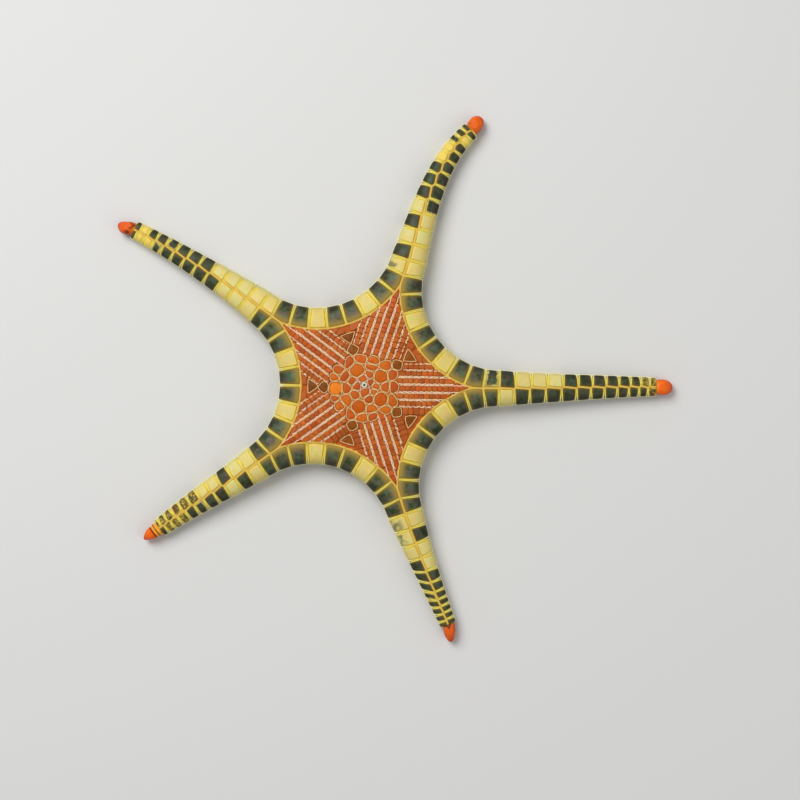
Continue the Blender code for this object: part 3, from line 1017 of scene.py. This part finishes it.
def build_tips(paints):
    """The terminal plates: smooth caps over the arms' ends, notched above the furrow."""
    batch = Batch()
    for number, arm in enumerate(ARMS):
        cap = arm.cap
        start = arm.length - cap.length - CAP_OVERLAP
        height = float(arm_height(arm, start)) * 0.97
        bm = bmesh.new()
        bmesh.ops.create_uvsphere(bm, u_segments=48, v_segments=32, radius=1.0)
        up, aside, ahead = points_of(bm).T
        fore = np.clip(ahead, 0.0, 1.0)
        s = start + (ahead + 0.75) / 1.75 * (arm.length - start)
        out = np.clip((s - start) / (arm.length - start), 0.0, 1.0)
        power = np.where(ahead < 0, 3.6, 2.05)
        full = (1.0 - np.minimum(np.abs(ahead), 0.9999) ** power) ** (1.0 / power)
        full /= np.sqrt(np.maximum(1.0 - ahead ** 2, 1e-4))
        full *= 1.0 + 0.20 * np.abs(aside * up)
        groove = 0.12 * cap.collar * bell(out, 0.34, 0.05)
        narrow = 1.0 - 0.42 * cap.point * (0.5 + 0.5 * ahead).clip(0.0, 1.0) ** 1.5 - groove
        t = aside * full * cap.half_width * narrow
        t += cap.veer * np.clip(out / 0.6, 0.0, 1.0) + cap.bend * out ** 2
        z = height * 0.5 * (1.0 + up * full * (1.0 - 0.35 * fore ** 2))
        z -= (0.12 * fore + groove) * height * np.clip(up, 0.0, 1.0)
        notch = NOTCH * bell(aside, 0.0, 0.28) * (up < 0)
        put(bm, arm_place(number, s, t, np.maximum(z, CAP_FLOOR + notch)))
        bmesh.ops.reverse_faces(bm, faces=bm.faces)
        batch.add(bm, out=out, up=up, blots=cap.blots, collar=cap.collar)
    piece = batch.build("terminal_plates", paints["tip"], "tip_plate")
    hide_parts(*(f"tip_{number + 1}" for number in RAYS))


# Skin -------------------------------------------------------------------------

# The solids swell a little while they are joined, so that no gap is left between them.
SWELL = 0.22 * MM
WELDED = 0.005 * MM
VOXEL = 0.42 * MM
SKIN_FLOOR = 0.25 * MM
# The skin's colours: how far the disc's field reaches and stays inside the frame, and where
# the middle's own tone fades.
FIELD_REACH = 24.0 * MM
FIELD_INSET = 0.12 * MM
CENTRE_FADE = (7.2 * MM, 8.6 * MM)


def swell(bm, distance):
    """Move a mesh's points along their normals."""
    bm.normal_update()
    shift = [vert.normal * distance for vert in bm.verts]
    for vert, move in zip(bm.verts, shift):
        vert.co += move


def closed_over(mesh):
    """One closed mesh round all the shells of another, as a bmesh."""
    rough = stand("skin_rough", mesh)
    remesh = rough.modifiers.new("close", "REMESH")
    remesh.mode = "VOXEL"
    remesh.voxel_size = VOXEL
    closed = rough.evaluated_get(bpy.context.evaluated_depsgraph_get())
    whole = bpy.data.meshes.new_from_object(closed)
    bpy.data.objects.remove(rough, do_unlink=True)
    bm = bmesh.new()
    bm.from_mesh(whole)
    bpy.data.meshes.remove(whole)
    return bm


def build_skin(paints):
    """One closed skin under all the plates, drawn in from the solids by the coat."""
    names = [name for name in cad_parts
             if name != "madreporite" and not name.startswith("tip_")]
    joined = bmesh.new()
    for name in sorted(names):
        part = bmesh.new()
        part.from_mesh(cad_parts[name].data)
        bmesh.ops.remove_doubles(part, verts=part.verts, dist=WELDED)
        swell(part, SWELL)
        mesh = bpy.data.meshes.new("skin_part")
        part.to_mesh(mesh)
        part.free()
        joined.from_mesh(mesh)
        bpy.data.meshes.remove(mesh)
    mesh = bpy.data.meshes.new("skin")
    joined.to_mesh(mesh)
    joined.free()
    bm = closed_over(mesh)
    for _ in range(3):
        bmesh.ops.smooth_vert(bm, verts=bm.verts, factor=0.5, use_axis_x=True,
                              use_axis_y=True, use_axis_z=True)
    swell(bm, -SWELL - COAT)
    for vert in bm.verts:
        vert.co.z = max(vert.co.z, SKIN_FLOOR)
    places = [(*vert.co, vert.normal.z) for vert in bm.verts]
    field = [math.hypot(x, y) < FIELD_REACH and inside_field(x, y, FIELD_INSET)
             for x, y, _, _ in places]
    under = [z < 0.35 * FRAME_HEIGHT and facing < 0.2 for _, _, z, facing in places]
    centre = np.interp([math.hypot(x, y) for x, y, _, _ in places], CENTRE_FADE, (1.0, 0.0))
    batch = Batch()
    batch.add(bm, field=field, under=under, centre=centre)
    piece = batch.build("skin", paints["skin"], "skin", 180.0)
    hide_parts(*names)


# Underside --------------------------------------------------------------------

FURROW_EDGE = HEEL * NECK_HALF_WIDTH
FURROW_START = 4.1 * MM
# How far short of the cap a furrow's plates end, and the gaps along and across them.
FURROW_END = 0.9 * MM
FURROW_PITCH = 1.45 * MM
ALONG_GAP = 0.06 * MM
ACROSS_GAP = 0.05 * MM
# The rows between the furrows: where they start, their plates' pitch and reach, how far they
# lie from the furrows, how much room they need at the edges, and how high they lie.
UNDER_START = 4.6 * MM
UNDER_PITCH = 1.5 * MM
UNDER_REACH = 0.75 * MM
UNDER_INSET = 0.25 * MM
UNDER_ROOM = 0.35 * MM
UNDER_GAP = 0.12 * MM
UNDER_LEVEL = 0.05 * MM
# The height of the plates beside the furrows and of the jaws.
LOW_LEVEL = 2 * FLOOR_ROOM
# A spine beside a furrow: how high it stands at its root and its tip, how far it leans over
# the furrow, how far the comb fans out, and how far it stands off the plate's edge.
SPINE_ROOT = 0.62 * MM
SPINE_TIP = 0.14 * MM
SPINE_LEAN = 0.55 * MM
SPINE_FAN = 0.5 * MM
SPINE_ROOM = 0.05 * MM
# A tube foot: its radius, its height, and where it stands between furrow's middle and edge.
FOOT_SIZE = 0.27 * MM
FOOT_HEIGHT = 0.30 * MM
FOOT_PLACE = 0.36


def under_seeds():
    """Rows of plates side by side between the furrows."""
    seeds = []
    for ray, side, row, step in product(RAYS, (-1, 1), range(6), range(14)):
        t = FURROW_EDGE + UNDER_INSET + (row + 0.5) * UNDER_PITCH
        s = UNDER_START + (step + 0.5 * (row % 2)) * UNDER_PITCH
        x, y = ray_turn(ray) @ Vector((s, side * t))
        if inside_sector(s, t, UNDER_ROOM) and inside_field(x, y, UNDER_ROOM):
            track = ray if side < 0 else ray + len(ARMS)
            seeds.append(Seed(x, y, UNDER_REACH, "ray", track, row))
    return seeds


def under_walls(seed):
    """The frame's inner edge and the furrows' edges, as straight cuts."""
    cuts = field_walls(seed)
    for ray, side in product(RAYS, (-1, 1)):
        ahead, normal = polar(1.0, 72 * ray), polar(1.0, 72 * ray - 90 * side)
        off = -(normal[0] * seed.x + normal[1] * seed.y)
        if off > 0 and ahead[0] * seed.x + ahead[1] * seed.y >= 0:
            cuts.append((normal, off - FURROW_EDGE - UNDER_GAP))
    return cuts


def build_underside(paints):
    """Paving between the furrows, plates along them, spines, tube feet and jaws."""
    batch = Batch()
    for _, bm, _ in outlines(under_seeds(), under_walls):
        soften(bm, 3)
        bm, height = pave(bm, lambda x, y: UNDER_LEVEL, down=True)
        batch.add(bm, height=height, tone=RANDOM.uniform(0.0, 1.0))
    batch.build("underside_plates", paints["under"], "underside")
    build_furrows(paints)
    build_jaws(paints)


def add_cushion(batch, half_x, half_y, mapper, steps, corner, depth):
    """Add one cushion-shaped plate of the underside to a batch."""
    bm, edge, _ = cushion(half_x, half_y, mapper, steps, corner, depth)
    batch.add(bm, height=np.clip(edge / EDGE_ROUND, 0, 1), tone=RANDOM.uniform(0, 1))


def build_furrows(paints):
    """Plates, spines and tube feet along both sides of each furrow."""
    batch = Batch()
    spines, feet = [], []
    for number, side in product(RAYS, (-1, 1)):
        arm = ARMS[number]
        s = FURROW_START
        while s < arm.length - arm.cap.length - FURROW_END:
            width = min(NECK_HALF_WIDTH, float(half_width(arm, max(s, NECK))))
            pitch = FURROW_PITCH * (0.55 + 0.45 * width / NECK_HALF_WIDTH)
            inner, outer = LIP * width, HEEL * width

            def mapper(x, y, lift):
                t = side * ((inner + outer) / 2 + y)
                return arm_place(number, s + pitch / 2 + x, t, LOW_LEVEL - lift)

            add_cushion(batch, pitch / 2 - ALONG_GAP, (outer - inner) / 2 - ACROSS_GAP, mapper,
                        (5, 5), corner=0.25 * MM, depth=0.3 * MM)
            spines.append(furrow_spines(number, side, s, pitch, inner))
            feet.append(tube_feet(number, side, s, pitch, inner))
            s += pitch
    batch.build("furrow_plates", paints["under"], "underside")
    scatter("furrow_spines", spine_shape(), spines, paints["spine"])
    scatter("tube_feet", foot_shape(), feet, paints["foot"])


def under_patches(root, squeeze=0.3):
    """Where the underside's small shapes lie on the unwrapped skin."""
    return field_bake_place(root[:, 0] * squeeze, root[:, 1] * squeeze, True)


def furrow_spines(number, side, s, pitch, inner, count=5):
    """A comb of short spines that leans over the furrow from one plate."""
    share = (np.arange(count) + 0.5) / count
    s_all = s + pitch * share
    bow = 1.0 - 2.2 * (share - 0.5) ** 2
    t = np.full(count, side * (inner + SPINE_ROOM))
    scale = inner / (LIP * NECK_HALF_WIDTH)
    root = arm_place(number, s_all, t, SPINE_ROOT * scale)
    tip = arm_place(number, s_all + (share - 0.5) * SPINE_FAN,
                    t - side * SPINE_LEAN * scale * bow, SPINE_TIP)
    way = tip - root
    length = np.linalg.norm(way, axis=1)
    return root, unit(way), length, under_patches(root), RANDOM.uniform(0.0, 1.0, count)


def tube_feet(number, side, s, pitch, inner):
    """One tube foot in the furrow beside each plate."""
    size = FOOT_SIZE * inner / (LIP * NECK_HALF_WIDTH)
    t = side * (inner * FOOT_PLACE + RANDOM.uniform(-0.05, 0.05) * MM)
    root = arm_place(number, np.array([s + pitch / 2]), np.array([t]), FOOT_HEIGHT)
    lean = unit(np.array([[RANDOM.uniform(-0.2, 0.2), RANDOM.uniform(-0.2, 0.2), -1.0]]))
    return root, lean, np.array([size]), under_patches(root), RANDOM.uniform(0.0, 1.0, 1)


# Jaws: half sizes of a plate before it is laid, where it starts and how long it is, its
# width at the mouth and how much it widens outwards, and half the gap to its twin.
JAW_HALF = (1.75 * MM, 0.8 * MM)
JAW_START = 0.75 * MM
JAW_LENGTH = 3.3 * MM
JAW_WIDTH = 0.35 * MM
JAW_SPREAD = 1.25 * MM
JAW_GAP = 0.06 * MM
# Its spines: how many, how long, how much of its edge they take and how high they stand.
JAW_SPINES = 9
JAW_SPINE = 0.72 * MM
JAW_COMB = 3.2 * MM
JAW_ROOT = 0.55 * MM


def build_jaws(paints):
    """Five pairs of oral plates pointing at the mouth, edged with spines."""
    batch = Batch()
    spines = []
    half_x, half_y = JAW_HALF
    share = (np.arange(JAW_SPINES) + 0.3) / JAW_SPINES
    same = np.ones(JAW_SPINES)
    for bay, side in product(RAYS, (-1, 1)):
        turn = np.array(Matrix.Rotation((36 + 72 * bay) * DEGREE, 3, "Z")).T

        def mapper(x, y, lift):
            out = (x + half_x) / (2 * half_x)
            across = JAW_GAP + (y / half_y + 1.0) / 2 * (JAW_WIDTH + JAW_SPREAD * out)
            flat = (JAW_START + out * JAW_LENGTH, side * across, LOW_LEVEL - lift)
            return np.stack(flat, axis=-1) @ turn

        add_cushion(batch, half_x, half_y, mapper, (9, 6), corner=0.4 * MM, depth=0.45 * MM)
        wide = JAW_GAP + JAW_WIDTH + JAW_SPREAD * share
        root = np.stack((JAW_START + share * JAW_COMB, side * wide, JAW_ROOT * same), -1) @ turn
        lean = np.stack((-0.5 + 0.2 * share, side * 0.55 * same, -0.5 * same), -1) @ turn
        spines.append((root, unit(lean), JAW_SPINE * same, under_patches(root, 1.0), share))
    piece = batch.build("oral_plates", paints["under"], "jaw")
    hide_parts("mouth")
    scatter("oral_spines", spine_shape(), spines, paints["spine"])


# Materials --------------------------------------------------------------------

def shade(colour):
    """A colour given as 0 to 255 display values, as linear light."""
    return [((c / 255 + 0.055) / 1.055) ** 2.4 if c > 10 else c / 255 / 12.92
            for c in colour] + [1.0]


class Paint:
    """A material in the making: short calls that add nodes and return sockets.

    A colour is a socket or three display values. A source is a socket, the name of a value
    that the mesh carries, or a size in metres for noise whose blotches are about that wide.
    """

    def __init__(self, name, roughness=0.5, specular=0.16, subsurface=0.0):
        self.material = bpy.data.materials.new(name)
        self.material.use_nodes = True
        self.tree = self.material.node_tree
        self.shader = self.tree.nodes["Principled BSDF"].inputs
        self.shader["Roughness"].default_value = roughness
        self.shader["Specular IOR Level"].default_value = specular
        if subsurface:
            self.shader["Subsurface Weight"].default_value = subsurface
            self.shader["Subsurface Scale"].default_value = 1.0 * MM
        self.coords = self.node("TexCoord", "Object", {})

    def feed(self, socket, value):
        if isinstance(value, bpy.types.NodeSocket):
            self.tree.links.new(value, socket)
        else:
            socket.default_value = shade(value) if isinstance(value, tuple) else value

    def node(self, kind, output, inputs, **settings):
        """Add a node, set it up, feed its inputs and return one of its outputs."""
        node = self.tree.nodes.new("ShaderNode" + kind)
        for name, setting in settings.items():
            setattr(node, name, setting)
        for name, value in inputs.items():
            self.feed(node.inputs[name], value)
        return node.outputs[output]

    def noise(self, size, detail=2.0):
        return self.node("TexNoise", "Fac", {"Vector": self.coords, "Scale": 1.0 / size,
                                             "Detail": detail})

    def pits(self, size):
        """Distance to the nearest of many points about size apart."""
        return self.node("TexVoronoi", "Distance", {"Vector": self.coords, "Scale": 1.0 / size})

    def read(self, source):
        """The socket of a source."""
        if isinstance(source, str):
            return self.node("Attribute", "Fac", {}, attribute_name=source)
        return self.noise(source) if isinstance(source, float) else source

    def fit(self, source, low, high, to_low=0.0, to_high=1.0):
        """Map a source from one range to another, clamped and smoothed."""
        return self.node("MapRange", "Result", {
            "Value": self.read(source), "From Min": low, "From Max": high, "To Min": to_low,
            "To Max": to_high}, interpolation_type="SMOOTHSTEP")

    def times(self, source, factor, operation="MULTIPLY"):
        return self.node("Math", "Value", {0: self.read(source), 1: factor},
                         operation=operation, use_clamp=True)

    def plus(self, source, more):
        return self.times(source, more, "ADD")

    def band(self, source, start, rise, fall, stop):
        """1 where a source lies in a band and 0 outside it."""
        return self.times(self.fit(source, start, rise), self.fit(source, fall, stop, 1.0, 0.0))

    def grain(self, size, pit_size):
        """The height of a fine rough surface with pits."""
        return self.plus(self.times(self.noise(size, 3.0), 0.6),
                         self.times(self.pits(pit_size), 0.4))

    def layers(self, base, *layers):
        """Lay colours over a base, each by its source, mapped through a range if it has one."""
        for colour, source, *span in layers:
            factor = self.fit(source, *span) if span else self.read(source)
            base = self.node("Mix", 2, {"Factor": factor, 6: base, 7: colour},
                             data_type="RGBA")
        return base

    def finish(self, colour, height, distance, strength):
        """Give the shader its colour and bump, and return the material."""
        self.feed(self.shader["Base Color"], colour)
        self.feed(self.shader["Normal"], self.node("Bump", "Normal", {
            "Strength": strength, "Distance": distance, "Height": self.read(height)}))
        return self.material


def dark_colour(paint):
    """Slate green and grey, yellow brown towards the seams, and painted shade that turns it
    nearly black down the flank.
    """
    return paint.layers(
        (58, 64, 36), ((88, 108, 84), 1.5 * MM, 0.35, 0.65),
        ((102, 86, 76), paint.noise(1.1 * MM, 1.0), 0.48, 0.62, 0.0, 0.85),
        ((56, 86, 46), paint.noise(0.7 * MM, 1.0), 0.55, 0.68, 0.0, 0.75),
        ((38, 44, 26), paint.times("free", 0.5)),
        # Painted shade: nearly black down the flank, where the plates turn away from the light.
        ((16, 16, 6), "turn", 0.30, 0.88, 0.0, 0.96),
        ((124, 102, 30), "edge", 0.0, 0.90 * MM, 0.88, 0.0),
        ((160, 134, 62), "inner", 0.0, 2.0 * MM, 0.92, 0.0),
        ((146, 134, 84), "turn", 1.45, 2.0, 0.0, 0.8),
        ((200, 168, 58), "edge", 0.0, 0.24 * MM, 0.85, 0.0))


def pale_colour(paint):
    """Cream yellow, tan in the middle, with a fine olive line just inside the rim and painted
    shade towards the outer side.
    """
    base = paint.layers(
        (212, 186, 96), ((238, 218, 130), 1.6 * MM),
        ((230, 184, 122), 1.0 * MM, 0.48, 0.66, 0.0, 0.6),
        ((202, 208, 122), 1.3 * MM, 0.50, 0.68, 0.0, 0.7),
        ((214, 214, 142), paint.times("free", paint.fit(1.3 * MM, 0.4, 0.6, 0.2, 0.7))),
        # Painted shade: greener and greyer from halfway down the upper plates outwards.
        ((182, 184, 100), "turn", 0.5, 1.0, 0.0, 0.6),
        ((232, 214, 150), "turn", 1.3, 2.0),
        ((216, 190, 112), "tone", 0.1, 0.9, 0.0, 0.5),
        ((238, 206, 84), paint.times("outer", 0.75)),
        ((236, 214, 80), "edge", 0.15 * MM, 0.8 * MM, 0.6, 0.0))
    line = paint.times(paint.band("edge", 0.05 * MM, 0.12 * MM, 0.14 * MM, 0.26 * MM),
                       paint.fit(1.5 * MM, 0.35, 0.65, 0.1, 0.8))
    return paint.layers((252, 224, 96), (base, "edge", 0.03 * MM, 0.16 * MM),
                        ((164, 128, 36), line))


def mottled_colour(paint):
    """A dark heart that fades into a clouded pale border."""
    reach = paint.plus(paint.fit("edge", 0.0, 1.3 * MM),
                       paint.fit(1.4 * MM, 0.3, 0.7, -0.3, 0.3))
    return paint.layers(pale_colour(paint), ((172, 164, 100), 0.9 * MM, 0.4, 0.6, 0.2, 0.8),
                        (dark_colour(paint), reach, 0.12, 0.62))


def clouded_colour(paint):
    """Pale, with a smoky green cloud mostly on the outer half."""
    cloud = paint.plus(paint.fit("turn", 0.1, 0.7, 0.0, 0.5),
                       paint.fit(2.0 * MM, 0.35, 0.62, 0.0, 0.5))
    cloud = paint.times(cloud, paint.fit("edge", 0.05 * MM, 0.5 * MM))
    return paint.layers(pale_colour(paint), ((104, 112, 76), cloud, 0.40, 0.85, 0.0, 0.85))


def worn_colour(paint):
    """Rubbed plates: olive and brown, maroon stains, fine yellow flecks and rims."""
    heart = paint.layers((72, 70, 38), ((144, 124, 54), 0.7 * MM, 0.36, 0.62),
                         ((96, 50, 26), 2.2 * MM, 0.52, 0.62, 0.0, 0.75),
                         ((226, 196, 84), 0.5 * MM, 0.54, 0.66, 0.0, 0.7))
    reach = paint.plus(paint.fit("edge", 0.0, 0.7 * MM, 0.0, 0.6),
                       paint.fit(paint.noise(1.5 * MM, 3.0), 0.32, 0.68, -0.3, 0.4))
    return paint.layers((222, 192, 70), (heart, reach, 0.05, 0.35))


def plate_paint(name, colour):
    """A marginal plate: slightly uneven gloss over a pitted grain."""
    paint = Paint(name, 0.42)
    paint.feed(paint.shader["Roughness"], paint.fit(0.5 * MM, 0.3, 0.7, 0.38, 0.52))
    return paint.finish(colour(paint), paint.grain(0.22 * MM, 0.3 * MM), 0.03 * MM, 0.6)


def granule_paint():
    """Yellow on the upper face, paler down the flanks, partly their own paler colour and partly a
    painted highlight, and cream below.
    """
    paint = Paint("seam_granules")
    # side: paler down the flanks, partly the granules' own colour and partly a painted highlight,
    # and cream below.
    side = paint.layers((252, 244, 150), ((255, 252, 206), 0.9 * MM))
    colour = paint.layers((255, 236, 96), ((255, 250, 140), 1.4 * MM),
                          ((244, 172, 96), "tone", 0.0, 0.22, 0.5, 0.0),
                          (side, "tone", 0.35, 0.85))
    return paint.finish(colour, 0.08 * MM, 0.01 * MM, 0.5)


def disc_granule_paint():
    """Amber granules round the plates, pinkish white along the rays, rusty at the breaks."""
    paint = Paint("disc_granules")
    white = paint.layers((240, 190, 160), ((255, 236, 210), 1.2 * MM))
    pale = paint.layers((255, 206, 134), ((255, 230, 170), 1.2 * MM), (white, "tone", 0.5, 0.85))
    colour = paint.layers((190, 98, 44), ((220, 132, 74), 1.2 * MM), (pale, "tone", 0.1, 0.4))
    return paint.finish(colour, 0.08 * MM, 0.01 * MM, 0.5)


def disc_paint(name, low, high, rim, spot, spots=0.5, rim_depth=0.8, steady=0.5, stains=()):
    """Plates of the disc: two blotchy tones, brighter spots and a dark rim."""
    paint = Paint(name, 0.48)
    tone = paint.plus(paint.times("tone", 1.0 - steady), paint.times(0.9 * MM, steady))
    colour = paint.layers(low, (high, tone, 0.25, 0.75),
                          (spot, paint.noise(0.75 * MM, 1.0), 0.50, 0.68, 0.0, spots),
                          *stains, (rim, "height", 0.62, 0.99, rim_depth, 0.0))
    return paint.finish(colour, paint.noise(0.16 * MM, 3.0), 0.02 * MM, 0.7)


# Redder in a ray's middle rows, ochre and brown stains, and rusty at its sides.
RAY_STAINS = (((200, 76, 38), "row", 0.0, 2.0, 0.30, 0.0),
              ((196, 116, 50), 2.4 * MM, 0.48, 0.62, 0.0, 0.5),
              ((152, 84, 24), 0.6 * MM, 0.50, 0.66, 0.0, 0.7),
              ((170, 84, 36), "row", 1.5, 4.0, 0.0, 0.55))


def tip_paint():
    """Glowing orange, deep red round the rim, some caps with brown blots or a collar."""
    paint = Paint("terminal_plate", 0.4, 0.2)
    blot = paint.times("blots", paint.fit(paint.noise(1.7 * MM, 1.0), 0.47, 0.58))
    bars = paint.layers((246, 168, 50),
                        ((134, 72, 20), paint.band("out", 0.10, 0.14, 0.17, 0.21)))
    colour = paint.layers(
        (236, 84, 14), ((250, 126, 26), 1.1 * MM),
        ((218, 66, 16), paint.noise(0.4 * MM, 3.0), 0.5, 0.7, 0.0, 0.5),
        ((192, 40, 12), "up", 0.05, 0.7, 0.85, 0.0),
        ((206, 46, 18), "out", 0.65, 1.0, 0.0, 0.6),
        ((240, 150, 44), "out", 0.0, 0.12, 0.8, 0.0),
        ((176, 52, 16), paint.times("blots", 0.3)),
        ((84, 34, 16), paint.times(blot, paint.fit("out", 0.2, 0.6, 0.9, 0.0))),
        (bars, paint.times("collar", paint.fit("out", 0.30, 0.34, 1.0, 0.0))),
        ((112, 30, 14), paint.times("collar", paint.band("out", 0.29, 0.34, 0.36, 0.42))))
    return paint.finish(colour, paint.grain(0.3 * MM, 0.26 * MM), 0.05 * MM, 0.7)


def skin_paint():
    """Soft tissue in the seams: yellow in the frame, brown orange in the disc's field."""
    paint = Paint("skin", 0.6)
    field = paint.layers((168, 78, 24), ((204, 102, 38), 0.5 * MM), ((208, 130, 62), "centre"))
    cream = paint.layers((222, 196, 140), ((240, 222, 176), 0.8 * MM))
    colour = paint.layers((255, 230, 88), ((255, 246, 118), 0.8 * MM), (field, "field"),
                          (cream, "under"))
    return paint.finish(colour, paint.pits(0.2 * MM), 0.05 * MM, 0.8)


def plain_paint(name, low, high, size, roughness=0.5, subsurface=0.0):
    """Two close tones in soft blotches over a fine grain."""
    paint = Paint(name, roughness, subsurface=subsurface)
    return paint.finish(paint.layers(low, (high, size)), paint.noise(size / 6, 3.0), 0.02 * MM,
                        0.6)


def make_paints():
    """Every finish by name."""
    return {
        "dark": plate_paint("dark_plate", dark_colour),
        "pale": plate_paint("pale_plate", pale_colour),
        "mottled": plate_paint("mottled_plate", mottled_colour),
        "clouded": plate_paint("clouded_plate", clouded_colour),
        "worn": plate_paint("worn_plate", worn_colour),
        "granule": granule_paint(),
        "disc_granule": disc_granule_paint(),
        "ray": disc_paint("ray_plate", (162, 78, 20), (206, 104, 28), (136, 70, 24),
                          (200, 76, 38), 0.7, 0.6, 0.35, RAY_STAINS),
        "centre": disc_paint("disc_plate", (178, 80, 18), (206, 106, 22), (142, 72, 20),
                             (202, 68, 32), 0.7),
        "primary": disc_paint("primary_plate", (186, 82, 8), (200, 100, 12), (112, 74, 18),
                              (216, 96, 16)),
        "brown": disc_paint("brown_plate", (120, 60, 6), (146, 78, 14), (92, 56, 10),
                            (92, 60, 8)),
        "sieve": disc_paint("sieve_plate", (232, 112, 16), (242, 130, 24), (232, 130, 30),
                            (250, 110, 20)),
        "vent": plain_paint("vent", (52, 74, 66), (84, 98, 80), 0.3 * MM),
        "white": plain_paint("vent_granule", (230, 226, 200), (248, 244, 226), 0.5 * MM),
        "tip": tip_paint(),
        "skin": skin_paint(),
        "under": plain_paint("underside_plate", (226, 196, 138), (244, 224, 176), 1.2 * MM,
                             0.55),
        "spine": plain_paint("spine", (236, 214, 160), (250, 236, 200), 0.8 * MM, 0.45, 0.1),
        "foot": plain_paint("tube_foot", (240, 200, 120), (250, 226, 170), 0.8 * MM, 0.35, 0.3),
    }


# Stage ------------------------------------------------------------------------

VIEW_CENTRE = (7.76 * MM, -2.95 * MM)
VIEW_WIDTH = 181.5 * MM
VIEW_TURN = 0.84 * DEGREE
LENS = 85.0
SENSOR = 36.0
FLOOR_HALF = 1.5
FLOOR_COLOUR = (0.70, 0.70, 0.69, 1.0)
SKY_COLOUR = (1.0, 0.99, 0.97, 1.0)
SKY_STRENGTH = 0.33
# Each lamp: its place and width in metres and its power in watts.
LAMPS = {"key": ((-0.28, 0.30, 0.55), 0.45, 3.7), "fill": ((0.45, -0.20, 0.45), 0.60, 0.8)}


def build_stage():
    """A pale floor, soft lights and a camera looking straight down."""
    bm = bmesh.new()
    bmesh.ops.create_grid(bm, x_segments=1, y_segments=1, size=FLOOR_HALF)
    mesh = bpy.data.meshes.new("floor")
    bm.to_mesh(mesh)
    bm.free()
    material = bpy.data.materials.new("floor")
    material.use_nodes = True
    shader = material.node_tree.nodes["Principled BSDF"]
    shader.inputs["Base Color"].default_value = FLOOR_COLOUR
    shader.inputs["Roughness"].default_value = 0.8
    mesh.materials.append(material)
    stand("floor", mesh)

    for name, (place, size, power) in LAMPS.items():
        light = bpy.data.lights.new(name, "AREA")
        light.shape = "DISK"
        light.size = size
        light.energy = power
        lamp = stand(name, light)
        lamp.location = place
        lamp.rotation_euler = (-Vector(place)).to_track_quat("-Z", "Y").to_euler()
    world = bpy.data.worlds.new("studio")
    world.use_nodes = True
    background = world.node_tree.nodes["Background"]
    background.inputs["Color"].default_value = SKY_COLOUR
    background.inputs["Strength"].default_value = SKY_STRENGTH
    bpy.context.scene.world = world

    camera_data = bpy.data.cameras.new("camera")
    camera_data.lens = LENS
    camera_data.sensor_width = SENSOR
    camera_data.clip_start = 0.01
    camera = stand("camera", camera_data)
    distance = VIEW_WIDTH * LENS / SENSOR
    camera.location = (*VIEW_CENTRE, FRAME_HEIGHT / 2 + distance)
    camera.rotation_euler = (0.0, 0.0, VIEW_TURN)
    bpy.context.scene.camera = camera
    bpy.context.scene.view_settings.view_transform = "Standard"


def main():
    build_stage()
    paints = make_paints()
    build_skin(paints)
    build_marginal_plates(paints)
    build_field(paints)
    build_vent(paints)
    build_sieve_plate(paints)
    build_tips(paints)
    build_underside(paints)


main()
